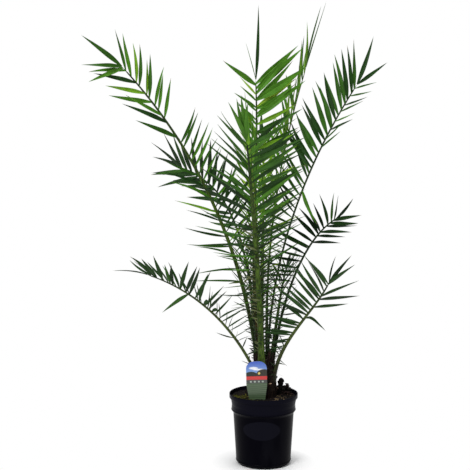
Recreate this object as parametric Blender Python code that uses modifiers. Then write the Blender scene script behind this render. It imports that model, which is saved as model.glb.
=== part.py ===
"""Potted canary island date palm: a young feather palm in a black nursery pot.

Units are metres with +Z up. The origin is the centre of the pot's flat underside, so the
pot stands on z = 0. Looking along +Y gives the front view, with +X to the right.
"""

import math
import random

import bmesh
import bpy
from mathutils import Matrix, Vector
from mathutils.bvhtree import BVHTree

# Room left between neighbours that touch on the real plant
GAP = 0.0003
# Room left between a leaflet and anything on another frond
LEAFLET_ROOM = 0.0006
# Boolean and Screw results are welded below this distance
WELD = 0.00001

# Nursery pot: a thin tapered shell with a deeper collar that ends in a rolled lip
POT_HEIGHT = 0.176
POT_WALL = 0.0016
POT_FLOOR = 0.0022
POT_SEGMENTS = 40
LIP_RADIUS = 0.0850
LIP_DEPTH = 0.0110
LIP_CREST_INSET = 0.0016
LIP_ROUNDING = 0.0006
COLLAR_TOP_RADIUS = 0.0820
COLLAR_FOOT_RADIUS = 0.0796
COLLAR_FOOT_Z = 0.1340
COLLAR_BEAD = 0.0007
BODY_TOP_RADIUS = 0.0752
BODY_TOP_Z = 0.1280
BODY_FOOT_RADIUS = 0.0682
BODY_FOOT_Z = 0.0105
FOOT_BEAD_RADIUS = 0.0689
FOOT_BEAD_Z = 0.0080
FOOT_RADIUS = 0.0630
FOOT_CHAMFER = 0.0010
DRAIN_COUNT = 8
DRAIN_RADIUS = 0.0045
DRAIN_RING_RADIUS = 0.0440
DRAIN_SEGMENTS = 10

# Potting soil, which fills the pot to a finger's width below the lip
SOIL_TOP_Z = 0.163
SOIL_CROWN = 0.0025
SOIL_DISH_RADIUS = 0.0330
SOIL_CREST_SHARE = 0.55
SOIL_SHOULDER_SHARE = 0.85
SOIL_SHOULDER_CROWN = 0.0020

# Plastic care label stuck upright in the soil in front of the stem
LABEL_WIDTH = 0.0510
LABEL_THICKNESS = 0.0010
LABEL_TOP_Z = 0.2630
LABEL_SHOULDER_Z = 0.2060
LABEL_NECK_WIDTH = 0.0380
LABEL_NECK_Z = 0.1650
LABEL_TAIL_WIDTH = 0.0200
LABEL_TAIL_Z = 0.1320
LABEL_POINT_WIDTH = 0.0070
LABEL_POINT_Z = 0.1200
LABEL_ARCH = 0.0180
LABEL_FLAT_TOP = 0.25
LABEL_ARCH_STEPS = 5
LABEL_X = -0.0165
LABEL_Y = -0.0430
LABEL_LEAN = math.radians(-3.0)
LABEL_TILT = math.radians(-1.5)

# Short fibrous stem, cut flat at soil level: radius at each height above the soil
STEM_RINGS = (
    (0.0000, 0.0290),
    (0.0150, 0.0310),
    (0.0400, 0.0305),
    (0.0650, 0.0280),
    (0.0850, 0.0235),
    (0.0980, 0.0165),
    (0.1060, 0.0080),
)
STEM_CAP_RISE = 0.0040
STEM_SEGMENTS = 18

# Fronds: a rachis is a cubic curve whose handles are this share of its chord
HANDLE_SHARE = 0.34
RACHIS_RINGS = 12
RACHIS_SIDES_LEVEL = 1
RACHIS_TIP_RADIUS = 0.0012
RACHIS_TAPER = 0.75

# Leaflets: chance changes in degrees and as a share, and proportions
ANGLE_JITTER = 4.0
LENGTH_JITTER = 0.07
LENGTH_AT_ENDS = 0.88
FOOT_LENGTH_SHARE = 0.40
LEAFLET_WIDTH_SHARE = 0.100
FOOT_LEAFLET_WIDTH_SHARE = 0.050
LEAFLET_BROAD_FROM = 0.50
LEAFLET_BELLY = 0.35
LEAFLET_FOLD = 0.45
LEAFLET_THICKNESS_SHARE = 0.016
LEAFLET_ROOT_OVERSHOOT = 0.8
ROOM_AT_ROOT = 8.0
ROOM_AT_SIDES = 1.5
ROOM_AT_TIP = 4.0
LAST_PAIR_SHARE = 0.985
PAIR_STAGGER = 0.3

# Ways to turn, raise or shorten a leaflet that would touch another frond, tried in order:
# change of opening angle in degrees, change of rise in degrees, share of its length
LEAFLET_TRIES = (
    (0, 0, 1.0),
    (6, 0, 1.0),
    (-6, 0, 1.0),
    (0, 10, 1.0),
    (0, -10, 1.0),
    (10, 8, 1.0),
    (-10, -8, 1.0),
    (0, 0, 0.8),
    (10, -10, 0.8),
    (-10, 10, 0.8),
    (0, 18, 0.7),
    (0, -18, 0.7),
    (0, 0, 0.6),
)

# Colours of the pot, soil, label and stem
POT_BLACK = (0.011, 0.012, 0.015)
SOIL_BROWN = (0.018, 0.012, 0.008)
LABEL_BLUE = (0.220, 0.360, 0.550)
STEM_BROWN = (0.070, 0.038, 0.020)

# Leaf greens from the newest growth to the oldest
YOUNG_GREEN = (0.150, 0.330, 0.035)
MID_GREEN = (0.060, 0.190, 0.035)
DEEP_GREEN = (0.024, 0.090, 0.028)


def row(start, rise, lengths, angles, gaps=()):
    """One side's row of leaflets.

    start is the share of the rachis that is bare stalk on this side, and rise folds the row
    up out of the blade. lengths and angles are the leaflets' lengths and opening angles at
    even steps from the first pair to the last, and gaps are stretches that have lost theirs.
    """
    return {"start": start, "rise": rise, "lengths": lengths, "angles": angles, "gaps": gaps}


def single(share, hand, angle, rise, length, width=0.100):
    """One leaflet on its own, on one hand of the rachis. Its width is a share of its length."""
    return (share, hand, angle, rise, length, width)


def frond_plan(
    foot, foot_growth, tip, tip_growth, roll, pairs, grown, girth, terminal, rows, green,
    singles=(),
):
    """Driving values of one frond.

    foot and tip are the ends of the rachis. A growth is the lean from upright and the
    compass bearing there, in degrees, with 0 along +X and 90 along +Y. roll turns the blade
    about its rachis, at its first leaflets and at its tip. pairs is the number of leaflet
    pairs, grown the share of the blade from which they have their full length, and girth
    the stalk's radius at the stem. terminal is the length of the leaflet at the tip, how far
    it turns sideways and up from the rachis, and its width as a share of its length. rows
    are the two sides, and singles are leaflets that fit in neither.
    """
    return {
        "foot": Vector(foot),
        "foot_growth": foot_growth,
        "tip": Vector(tip),
        "tip_growth": tip_growth,
        "roll": roll,
        "pairs": pairs,
        "grown": grown,
        "girth": girth,
        "terminal": terminal,
        "rows": rows,
        "singles": singles,
        "bare": min(rows[0]["start"], rows[1]["start"]),
        "green": green,
    }


FRONDS = {
    "frond_centre_front": frond_plan(
        foot=(-0.005, -0.017, 0.235), foot_growth=(9, 263),
        tip=(-0.045, -0.240, 0.800), tip_growth=(45, 264),
        roll=(0, 0), pairs=20, grown=0.62, girth=0.0070, terminal=(0.127, 2, 3, 0.090),
        rows=(
            row(
                start=0.22, rise=8, lengths=(0.200, 0.172, 0.172, 0.135, 0.121),
                angles=(118, 98, 76, 46, 30),
            ),
            row(
                start=0.22, rise=14, lengths=(0.190, 0.178, 0.155, 0.138, 0.170),
                angles=(70, 64, 64, 63, 49),
            ),
        ),
        singles=(
            single(1.0, 0, 17, 3, 0.118, 0.090), single(1.0, 0, 9, 12, 0.112, 0.090),
            single(1.0, 0, -5, 8, 0.108, 0.090),
        ),
        green=MID_GREEN,
    ),
    "frond_left_upper": frond_plan(
        foot=(-0.015, -0.003, 0.235), foot_growth=(6, 208),
        tip=(-0.330, -0.140, 0.970), tip_growth=(46, 208),
        roll=(-80, -80), pairs=22, grown=0.10, girth=0.0052, terminal=(0.129, -15, 12, 0.090),
        rows=(
            row(
                start=0.20, rise=0, lengths=(0.122, 0.116, 0.108, 0.100, 0.105),
                angles=(70, 60, 60, 64, 28), gaps=((0.74, 0.81),),
            ),
            row(
                start=0.20, rise=8, lengths=(0.155, 0.138, 0.121, 0.138, 0.121),
                angles=(78, 62, 42, 33, 44), gaps=((0.61, 0.745),),
            ),
        ),
        singles=(single(1.0, -1, 48, 20, 0.120), single(0.995, -1, 66, 14, 0.110)),
        green=MID_GREEN,
    ),
    "frond_left_lower": frond_plan(
        foot=(-0.018, -0.012, 0.225), foot_growth=(27, 214),
        tip=(-0.275, -0.140, 0.490), tip_growth=(71, 202),
        roll=(10, 18), pairs=16, grown=0.22, girth=0.0048, terminal=(0.090, -5, -12, 0.090),
        rows=(
            row(
                start=0.26, rise=54, lengths=(0.070, 0.068, 0.068, 0.076, 0.071),
                angles=(92, 84, 76, 60, 42),
            ),
            row(
                start=0.26, rise=28, lengths=(0.108, 0.090, 0.098, 0.078, 0.086),
                angles=(84, 82, 66, 62, 25),
            ),
        ),
        singles=(single(0.71, 1, 81, -40, 0.085, 0.130),),
        green=DEEP_GREEN,
    ),
    "frond_right_lower": frond_plan(
        foot=(0.024, -0.012, 0.205), foot_growth=(13, 287),
        tip=(0.147, -0.150, 0.472), tip_growth=(40, 297),
        roll=(-40, -60), pairs=14, grown=0.20, girth=0.0046, terminal=(0.094, -10, 12, 0.090),
        rows=(
            row(
                start=0.26, rise=30, lengths=(0.100, 0.104, 0.104, 0.100, 0.104),
                angles=(138, 132, 110, 84, 84),
            ),
            row(
                start=0.72, rise=18, lengths=(0.080, 0.080, 0.084, 0.098, 0.118),
                angles=(124, 102, 80, 55, 19), gaps=((0.755, 0.790), (0.910, 0.955)),
            ),
        ),
        singles=(single(1.0, 1, 10, 15, 0.080, 0.060),),
        green=DEEP_GREEN,
    ),
    "frond_right_upper": frond_plan(
        foot=(0.010, -0.004, 0.240), foot_growth=(6, 95),
        tip=(0.235, 0.090, 0.940), tip_growth=(36, 22),
        roll=(-15, 60), pairs=21, grown=0.45, girth=0.0042, terminal=(0.129, -14, 6, 0.090),
        rows=(
            row(
                start=0.73, rise=15, lengths=(0.100, 0.100, 0.090, 0.072, 0.066),
                angles=(44, 42, 38, 44, 52),
            ),
            row(
                start=0.24, rise=23, lengths=(0.126, 0.130, 0.146, 0.136, 0.130),
                angles=(108, 82, 54, 48, 36),
            ),
        ),
        singles=(single(1.0, 1, 20, -20, 0.100), single(0.60, 1, 133, -40, 0.100)),
        green=DEEP_GREEN,
    ),
    "frond_centre_back": frond_plan(
        foot=(-0.002, 0.007, 0.245), foot_growth=(11, 161),
        tip=(-0.020, 0.050, 0.950), tip_growth=(5, 123),
        roll=(0, 0), pairs=18, grown=0.40, girth=0.0052, terminal=(0.185, 5, 0, 0.050),
        rows=(
            row(
                start=0.28, rise=20, lengths=(0.134, 0.126, 0.118, 0.116, 0.166),
                angles=(48, 52, 59, 62, 43),
            ),
            row(
                start=0.28, rise=20, lengths=(0.120, 0.125, 0.120, 0.090, 0.072),
                angles=(60, 52, 46, 46, 68), gaps=((0.955, 1.00),),
            ),
        ),
        singles=(
            single(1.0, -1, 24, 35, 0.095, 0.040), single(0.98, -1, 63, 20, 0.120, 0.130),
            single(0.93, 1, 57, 15, 0.150, 0.140), single(0.90, 1, 60, 18, 0.140, 0.120),
        ),
        green=YOUNG_GREEN,
    ),
    "frond_right_top": frond_plan(
        foot=(0.011, 0.011, 0.240), foot_growth=(10, 108),
        tip=(0.115, 0.210, 0.990), tip_growth=(22, 38),
        roll=(-45, -62), pairs=17, grown=0.40, girth=0.0042, terminal=(0.178, 13, 0, 0.080),
        rows=(
            row(start=0.28, rise=20, lengths=(0.160, 0.130), angles=(72, 44, 30)),
            row(start=0.28, rise=20, lengths=(0.155, 0.125), angles=(72, 44, 30)),
        ),
        singles=(single(1.0, 1, 34, 5, 0.165, 0.080), single(0.99, 1, 28, 35, 0.125, 0.060)),
        green=YOUNG_GREEN,
    ),
    "frond_right_middle": frond_plan(
        foot=(0.020, 0.008, 0.230), foot_growth=(21, 68),
        tip=(0.195, 0.190, 0.595), tip_growth=(69, 41),
        roll=(0, 75), pairs=17, grown=0.30, girth=0.0040, terminal=(0.091, -14, -3, 0.090),
        rows=(
            row(
                start=0.75, rise=15, lengths=(0.060, 0.062, 0.066, 0.077, 0.095),
                angles=(100, 90, 75, 57, 26),
            ),
            row(
                start=0.28, rise=15, lengths=(0.082, 0.084, 0.086, 0.088, 0.080),
                angles=(124, 112, 98, 82, 54),
            ),
        ),
        singles=(
            single(0.47, 1, 92, 38, 0.045),
            single(0.34, 1, 90, 38, 0.035),
        ),
        green=DEEP_GREEN,
    ),
    "frond_left_back": frond_plan(
        foot=(-0.012, 0.013, 0.235), foot_growth=(6, 150),
        tip=(-0.205, 0.120, 0.725), tip_growth=(78, 160),
        roll=(60, 80), pairs=17, grown=0.30, girth=0.0040, terminal=(0.110, -28, 0, 0.090),
        rows=(
            row(start=0.30, rise=0, lengths=(0.112, 0.110), angles=(90, 56, 22)),
            row(start=0.30, rise=15, lengths=(0.112, 0.110), angles=(90, 70, 52)),
        ),
        singles=(
            single(1.0, -1, 48, 15, 0.110),
            single(0.99, 0, 0, 15, 0.110),
            single(0.97, 1, 21, 5, 0.110),
            single(0.91, 1, 45, -40, 0.110),
        ),
        green=DEEP_GREEN,
    ),
    "frond_back": frond_plan(
        foot=(-0.004, 0.022, 0.230), foot_growth=(15, 92),
        tip=(0.005, 0.270, 0.800), tip_growth=(52, 90),
        roll=(0, 0), pairs=15, grown=0.40, girth=0.0048, terminal=(0.130, 0, 0, 0.090),
        rows=(
            row(start=0.26, rise=34, lengths=(0.110, 0.105), angles=(92, 62, 33)),
            row(start=0.26, rise=34, lengths=(0.110, 0.105), angles=(92, 62, 33)),
        ),
        green=MID_GREEN,
    ),
    "frond_back_left": frond_plan(
        foot=(-0.012, 0.022, 0.215), foot_growth=(24, 112),
        tip=(-0.050, 0.285, 0.500), tip_growth=(70, 104),
        roll=(0, 0), pairs=13, grown=0.30, girth=0.0044, terminal=(0.100, 0, 0, 0.090),
        rows=(
            row(start=0.26, rise=50, lengths=(0.090, 0.085), angles=(92, 62, 33)),
            row(start=0.26, rise=50, lengths=(0.090, 0.085), angles=(92, 62, 33)),
        ),
        green=DEEP_GREEN,
    ),
    "frond_back_right": frond_plan(
        foot=(0.014, 0.022, 0.215), foot_growth=(24, 68),
        tip=(0.070, 0.285, 0.455), tip_growth=(72, 80),
        roll=(0, 0), pairs=13, grown=0.30, girth=0.0044, terminal=(0.095, 0, 0, 0.090),
        rows=(
            row(start=0.26, rise=50, lengths=(0.085, 0.080), angles=(92, 62, 33)),
            row(start=0.26, rise=50, lengths=(0.085, 0.080), angles=(92, 62, 33)),
        ),
        green=DEEP_GREEN,
    ),
    "frond_spear": frond_plan(
        foot=(-0.002, -0.006, 0.250), foot_growth=(2, 180),
        tip=(-0.035, -0.020, 0.800), tip_growth=(6, 200),
        roll=(0, 0), pairs=11, grown=0.10, girth=0.0042, terminal=(0.120, 0, 0, 0.090),
        rows=(
            row(start=0.42, rise=8, lengths=(0.125, 0.115), angles=(30, 14)),
            row(start=0.42, rise=8, lengths=(0.125, 0.115), angles=(30, 14)),
        ),
        green=YOUNG_GREEN,
    ),
}

# Start of the chance changes from leaflet to leaflet
SEED = 11


def clear_scene():
    """Remove every object that the file starts with."""
    for item in list(bpy.data.objects):
        bpy.data.objects.remove(item, do_unlink=True)


def new_collection(name):
    """Make a collection and hang it under the scene."""
    collection = bpy.data.collections.new(name)
    bpy.context.scene.collection.children.link(collection)
    return collection


def material(name, colour, roughness, metallic=0.0):
    """Plain Principled material."""
    made = bpy.data.materials.new(name)
    made.use_nodes = True
    shader = made.node_tree.nodes["Principled BSDF"]
    shader.inputs["Base Color"].default_value = (*colour, 1.0)
    shader.inputs["Roughness"].default_value = roughness
    shader.inputs["Metallic"].default_value = metallic
    return made


def add_object(name, mesh, collection):
    """Object for a mesh, in a collection."""
    made = bpy.data.objects.new(name, mesh)
    collection.objects.link(made)
    return made


def mesh_from_faces(name, points, faces):
    """Mesh of a few faces worked out by a rule."""
    mesh = bpy.data.meshes.new(name)
    mesh.from_pydata([tuple(point) for point in points], [], faces)
    mesh.update()
    return mesh


def turned(name, profile, segments, collection):
    """Solid of revolution from a profile that runs down its outer side."""
    points = [(radius, 0.0, height) for radius, height in profile]
    mesh = bpy.data.meshes.new(name)
    edges = [(i, i + 1) for i in range(len(points) - 1)]
    mesh.from_pydata(points, edges, [])
    made = add_object(name, mesh, collection)
    screw = made.modifiers.new("turn", "SCREW")
    screw.steps = segments
    screw.render_steps = segments
    screw.use_merge_vertices = True
    screw.merge_threshold = WELD
    screw.use_smooth_shade = True
    return made


def from_curve(curve_object, name, collection):
    """Closed mesh object in place of a curve object."""
    view_layer = bpy.context.view_layer
    view_layer.update()
    evaluated = curve_object.evaluated_get(bpy.context.evaluated_depsgraph_get())
    mesh = bpy.data.meshes.new_from_object(evaluated)
    mesh.name = name
    work = bmesh.new()
    work.from_mesh(mesh)
    bmesh.ops.remove_doubles(work, verts=work.verts, dist=WELD)
    bmesh.ops.recalc_face_normals(work, faces=work.faces)
    work.to_mesh(mesh)
    work.free()
    made = add_object(name, mesh, collection)
    made.matrix_world = curve_object.matrix_world
    bpy.data.objects.remove(curve_object, do_unlink=True)
    return made


def hide_cutter(cutter):
    """A cutter shapes its neighbours and isn't part of the plant."""
    cutter.hide_render = True
    cutter.display_type = "WIRE"


def cut(target, cutter):
    """Take a cutter's shape out of a target."""
    hide_cutter(cutter)
    boolean = target.modifiers.new("cut_" + cutter.name, "BOOLEAN")
    boolean.operation = "DIFFERENCE"
    boolean.solver = "EXACT"
    boolean.object = cutter


def pot_outer_profile():
    """Pot outline from the lip's crest down the outside to the axis."""
    lip_foot_z = POT_HEIGHT - LIP_DEPTH
    return [
        (LIP_RADIUS - LIP_CREST_INSET, POT_HEIGHT),
        (LIP_RADIUS - LIP_ROUNDING, POT_HEIGHT - LIP_ROUNDING),
        (LIP_RADIUS, POT_HEIGHT - LIP_ROUNDING * 3.0),
        (LIP_RADIUS, lip_foot_z + LIP_ROUNDING),
        (LIP_RADIUS - LIP_ROUNDING, lip_foot_z),
        (COLLAR_TOP_RADIUS, lip_foot_z - LIP_ROUNDING),
        (COLLAR_FOOT_RADIUS, COLLAR_FOOT_Z + COLLAR_BEAD * 3.0),
        (COLLAR_FOOT_RADIUS + COLLAR_BEAD, COLLAR_FOOT_Z + COLLAR_BEAD * 1.5),
        (COLLAR_FOOT_RADIUS, COLLAR_FOOT_Z),
        (BODY_TOP_RADIUS, BODY_TOP_Z),
        (BODY_FOOT_RADIUS, BODY_FOOT_Z),
        (FOOT_BEAD_RADIUS, BODY_FOOT_Z - FOOT_CHAMFER),
        (FOOT_BEAD_RADIUS, FOOT_BEAD_Z),
        (FOOT_BEAD_RADIUS - FOOT_CHAMFER * 1.5, FOOT_BEAD_Z - FOOT_CHAMFER * 2.5),
        (FOOT_RADIUS + FOOT_CHAMFER, FOOT_CHAMFER),
        (FOOT_RADIUS, 0.0),
        (0.0, 0.0),
    ]


def pot_inner_profile(inset):
    """Inside of the pot from the axis out over the floor and up to the lip."""
    wall = POT_WALL + inset
    return [
        (0.0, POT_FLOOR + inset),
        (FOOT_RADIUS - wall, POT_FLOOR + inset),
        (BODY_FOOT_RADIUS - wall, BODY_FOOT_Z),
        (BODY_TOP_RADIUS - wall, BODY_TOP_Z + POT_WALL * 0.5),
        (COLLAR_FOOT_RADIUS - wall, COLLAR_FOOT_Z + POT_WALL),
        (COLLAR_TOP_RADIUS - wall, POT_HEIGHT - LIP_DEPTH),
    ]


def build_pot(parts, cutters):
    """Pot shell with drain holes through its floor."""
    profile = pot_inner_profile(0.0) + pot_outer_profile()
    pot = turned("pot", profile, POT_SEGMENTS, parts)
    for index in range(DRAIN_COUNT):
        angle = 2.0 * math.pi * (index + 0.5) / DRAIN_COUNT
        bpy.ops.mesh.primitive_cylinder_add(
            vertices=DRAIN_SEGMENTS,
            radius=DRAIN_RADIUS,
            depth=POT_FLOOR * 4.0,
            location=(
                DRAIN_RING_RADIUS * math.cos(angle),
                DRAIN_RING_RADIUS * math.sin(angle),
                POT_FLOOR * 0.5,
            ),
        )
        drain = bpy.context.object
        drain.name = f"drain_hole_{index + 1}"
        for collection in list(drain.users_collection):
            collection.objects.unlink(drain)
        cutters.objects.link(drain)
        cut(pot, drain)
    pot.data.materials.append(material("pot_plastic", POT_BLACK, 0.34))
    return pot


def inner_radius(height):
    """Radius of the pot's inside at a height, less the room left round the soil."""
    wall = pot_inner_profile(GAP)
    for (low_r, low_z), (high_r, high_z) in zip(wall[1:], wall[2:]):
        if low_z <= height <= high_z:
            return low_r + (high_r - low_r) * (height - low_z) / (high_z - low_z)
    return wall[-1][0]


def build_soil(parts, cutters):
    """Soil plug with a low crown, and a slot for the label's tail."""
    edge_radius = inner_radius(SOIL_TOP_Z)
    wall = [point for point in pot_inner_profile(GAP) if point[1] < SOIL_TOP_Z]
    profile = [
        (0.0, SOIL_TOP_Z),
        (SOIL_DISH_RADIUS, SOIL_TOP_Z),
        (edge_radius * SOIL_CREST_SHARE, SOIL_TOP_Z + SOIL_CROWN),
        (edge_radius * SOIL_SHOULDER_SHARE, SOIL_TOP_Z + SOIL_SHOULDER_CROWN),
        (edge_radius, SOIL_TOP_Z),
    ]
    profile += list(reversed(wall))
    soil = turned("soil", profile, POT_SEGMENTS, parts)
    slot = label_blade("label_slot", GAP, cutters)
    cut(soil, slot)
    soil.data.materials.append(material("potting_soil", SOIL_BROWN, 0.95))
    return soil


def label_outline(extra):
    """Half the label's outline: a pointed tail, straight sides and an arched top."""
    half = LABEL_WIDTH / 2.0 + extra
    arch_z = LABEL_TOP_Z - LABEL_ARCH
    points = [
        (LABEL_POINT_WIDTH / 2.0 + extra, LABEL_POINT_Z - extra),
        (LABEL_TAIL_WIDTH / 2.0 + extra, LABEL_TAIL_Z),
        (LABEL_NECK_WIDTH / 2.0 + extra, LABEL_NECK_Z),
        (half, LABEL_SHOULDER_Z),
        (half, arch_z),
    ]
    for index in range(1, LABEL_ARCH_STEPS + 1):
        turn = math.pi / 2.0 * index / LABEL_ARCH_STEPS
        reach = half * (LABEL_FLAT_TOP + (1.0 - LABEL_FLAT_TOP) * math.cos(turn))
        points.append((reach, arch_z + (LABEL_ARCH + extra) * math.sin(turn)))
    return points


def label_blade(name, extra, collection):
    """Thin plate of the label's outline, grown by extra on every side."""
    right = label_outline(extra)
    left = [(-x, z) for x, z in reversed(right)]
    outline = right + left
    flat = bpy.data.curves.new(name, "CURVE")
    flat.dimensions = "2D"
    flat.fill_mode = "BOTH"
    flat.extrude = LABEL_THICKNESS / 2.0 + extra
    spline = flat.splines.new("POLY")
    spline.points.add(len(outline) - 1)
    for point, (x, z) in zip(spline.points, outline):
        point.co = (x, z - SOIL_TOP_Z, 0.0, 1.0)
    spline.use_cyclic_u = True
    curve_object = bpy.data.objects.new(name + "_outline", flat)
    collection.objects.link(curve_object)
    stand = Matrix.Rotation(math.radians(90.0) + LABEL_LEAN, 4, "X")
    tilt = Matrix.Rotation(LABEL_TILT, 4, "Y")
    place = Matrix.Translation((LABEL_X, LABEL_Y, SOIL_TOP_Z))
    curve_object.matrix_world = place @ tilt @ stand
    return from_curve(curve_object, name, collection)


def build_label(parts):
    """Care label."""
    label = label_blade("care_label", 0.0, parts)
    label.data.materials.append(material("label_plastic", LABEL_BLUE, 0.35))
    return label


def stem_profile(extra):
    """Stem outline, grown by extra, from its top down to the flat cut at soil level."""
    foot_z = SOIL_TOP_Z + GAP
    profile = [(0.0, foot_z + STEM_RINGS[-1][0] + STEM_CAP_RISE + extra)]
    for height, radius in reversed(STEM_RINGS[1:]):
        profile.append((radius + extra, foot_z + height + extra))
    profile.append((STEM_RINGS[0][1] + extra, foot_z - extra))
    profile.append((0.0, foot_z - extra))
    return profile


def build_stem(parts):
    """Short stem that carries every frond."""
    stem = turned("stem", stem_profile(0.0), STEM_SEGMENTS, parts)
    stem.data.materials.append(material("stem_fibre", STEM_BROWN, 0.92))
    return stem


def growth(lean, bearing):
    """Unit direction from a lean and a bearing in degrees."""
    lean = math.radians(lean)
    bearing = math.radians(bearing)
    flat = math.sin(lean)
    return Vector((flat * math.cos(bearing), flat * math.sin(bearing), math.cos(lean)))


def rachis_controls(plan):
    """The four control points of a frond's rachis."""
    foot = plan["foot"]
    tip = plan["tip"]
    handle = (tip - foot).length * HANDLE_SHARE
    return (
        foot,
        foot + growth(*plan["foot_growth"]) * handle,
        tip - growth(*plan["tip_growth"]) * handle,
        tip,
    )


def rachis_point(plan, share):
    """Point on the rachis and its direction there."""
    p0, p1, p2, p3 = rachis_controls(plan)
    rest = 1.0 - share
    point = p0 * rest ** 3 + p1 * 3 * share * rest ** 2 + p2 * 3 * share ** 2 * rest + p3 * share ** 3
    slope = (p1 - p0) * rest ** 2 + (p2 - p1) * 2 * share * rest + (p3 - p2) * share ** 2
    return point, slope.normalized()


def rachis_radius(plan, share):
    """Radius of the stalk, which thins towards its tip."""
    return RACHIS_TIP_RADIUS + (plan["girth"] - RACHIS_TIP_RADIUS) * (1.0 - share) ** RACHIS_TAPER


def rachis_tube(name, plan, extra, collection):
    """Tapered tube along the rachis."""
    path = bpy.data.curves.new(name, "CURVE")
    path.dimensions = "3D"
    path.fill_mode = "FULL"
    path.bevel_depth = 1.0
    path.bevel_resolution = RACHIS_SIDES_LEVEL
    path.use_fill_caps = True
    spline = path.splines.new("POLY")
    spline.points.add(RACHIS_RINGS)
    for index, point in enumerate(spline.points):
        share = index / RACHIS_RINGS
        place, _ = rachis_point(plan, share)
        point.co = (*place, 1.0)
        point.radius = rachis_radius(plan, share) + extra
    curve_object = bpy.data.objects.new(name + "_path", path)
    collection.objects.link(curve_object)
    return from_curve(curve_object, name, collection)


def blade_frame(plan, share):
    """Side and face directions of the blade at a place on the rachis."""
    _, along = rachis_point(plan, share)
    outward = plan["tip"] - plan["foot"]
    outward.z = 0.0
    outward.normalize()
    lean = math.acos(max(-1.0, min(1.0, along.z)))
    face = Vector((0.0, 0.0, math.sin(lean))) - outward * math.cos(lean)
    face -= along * face.dot(along)
    face.normalize()
    side = along.cross(face)
    first, last = plan["roll"]
    reach = max(0.0, (share - plan["bare"]) / (1.0 - plan["bare"]))
    turn = Matrix.Rotation(math.radians(first + (last - first) * reach ** 2), 3, along)
    return along, turn @ side, turn @ face


def length_envelope(share, grown):
    """Leaflet length along the blade as a share of the longest: the lowest are short."""
    long = FOOT_LENGTH_SHARE + (1.0 - FOOT_LENGTH_SHARE) * min(1.0, share / grown)
    return long * (LENGTH_AT_ENDS + (1.0 - LENGTH_AT_ENDS) * math.sin(math.pi * share))


def width_envelope(share, grown):
    """Leaflet width as a share of its length: the lowest leaflets are thin."""
    broad = min(1.0, share / max(grown, LEAFLET_BROAD_FROM))
    return FOOT_LEAFLET_WIDTH_SHARE + (LEAFLET_WIDTH_SHARE - FOOT_LEAFLET_WIDTH_SHARE) * broad


def between(values, share):
    """Value at a share of the way along values that stand at even steps."""
    place = share * (len(values) - 1)
    index = min(int(place), len(values) - 2)
    return values[index] + (values[index + 1] - values[index]) * (place - index)


def leaflet_places(name, plan):
    """Where each leaflet of a frond sits and how it points, from the foot to the tip."""
    chance = random.Random(SEED + list(FRONDS).index(name))
    places = []
    for index in range(plan["pairs"]):
        for hand, row_plan in zip((1, -1), plan["rows"]):
            stagger = PAIR_STAGGER if hand > 0 else 0.0
            blade_share = min(1.0, (index + stagger) / (plan["pairs"] - 1 + PAIR_STAGGER))
            share = between((plan["bare"], LAST_PAIR_SHARE), blade_share)
            angle = between(row_plan["angles"], blade_share) + chance.uniform(-ANGLE_JITTER, ANGLE_JITTER)
            length = between(row_plan["lengths"], blade_share)
            length *= length_envelope(blade_share, plan["grown"])
            length *= 1.0 + chance.uniform(-LENGTH_JITTER, LENGTH_JITTER)
            rise = row_plan["rise"] + chance.uniform(-ANGLE_JITTER, ANGLE_JITTER)
            lost = any(low <= share <= high for low, high in row_plan["gaps"])
            if lost or share < row_plan["start"]:
                continue
            width = width_envelope(blade_share, plan["grown"])
            places.append((share, hand, angle, rise, length, width))
    length, turn, lift, width = plan["terminal"]
    places.append((1.0, 0, turn, lift, length, width))
    places.extend(plan["singles"])
    return places


def leaflet_axes(plan, place, change):
    """Root, direction, width direction and upper side of one leaflet."""
    share, hand, angle, rise, _, _ = place
    angle = math.radians(angle + (change[0] if hand else 0.0))
    rise = math.radians(rise + change[1])
    root, _ = rachis_point(plan, share)
    along, side, face = blade_frame(plan, share)
    if hand:
        spread = side * hand * math.cos(rise) + face * math.sin(rise)
        direction = along * math.cos(angle) + spread * math.sin(angle)
        across = along - direction * along.dot(direction)
    else:
        level = along * math.cos(angle) + side * math.sin(angle)
        direction = level * math.cos(rise) + face * math.sin(rise)
        across = side - direction * side.dot(direction)
    across.normalize()
    normal = across.cross(direction)
    if normal.dot(face) < 0.0:
        normal = -normal
    return root, direction, across, normal


def leaflet_shape(plan, place, change, extra):
    """Eight-faced folded blade: a root, a tip, and a belly of two edges, fold and keel.

    With extra room, the fold is filled, so that the shape holds the whole blade.
    """
    root, direction, across, normal = leaflet_axes(plan, place, change)
    length = place[4] * change[2]
    half_width = length * place[5] / 2.0
    edge_lift = half_width * LEAFLET_FOLD
    fold_lift = edge_lift + extra * ROOM_AT_SIDES if extra else 0.0
    keel_drop = length * LEAFLET_THICKNESS_SHARE + extra
    sunk = rachis_radius(plan, place[0]) * LEAFLET_ROOT_OVERSHOOT
    tip = root + direction * (length + extra * ROOM_AT_TIP)
    root = root - direction * (sunk + extra * ROOM_AT_ROOT)
    belly = root + (tip - root) * LEAFLET_BELLY
    reach = across * (half_width + extra * ROOM_AT_SIDES)
    points = [
        root,
        belly + reach + normal * edge_lift,
        belly + normal * fold_lift,
        belly - reach + normal * edge_lift,
        belly - normal * keel_drop,
        tip,
    ]
    faces = []
    for index in range(4):
        here = 1 + index
        after = 1 + (index + 1) % 4
        faces.append((0, here, after))
        faces.append((5, after, here))
    return points, faces


def outward_facing(points, faces):
    """The same faces, turned so that the solid's volume is positive."""
    volume = sum(points[a].dot(points[b].cross(points[c])) for a, b, c in faces)
    if volume < 0.0:
        return [tuple(reversed(face)) for face in faces]
    return faces


def tree_of(made):
    """Search tree of an object's mesh, for touch tests."""
    mesh = made.data
    points = [made.matrix_world @ vertex.co for vertex in mesh.vertices]
    faces = [tuple(face.vertices) for face in mesh.polygons]
    return BVHTree.FromPolygons(points, faces)


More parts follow.
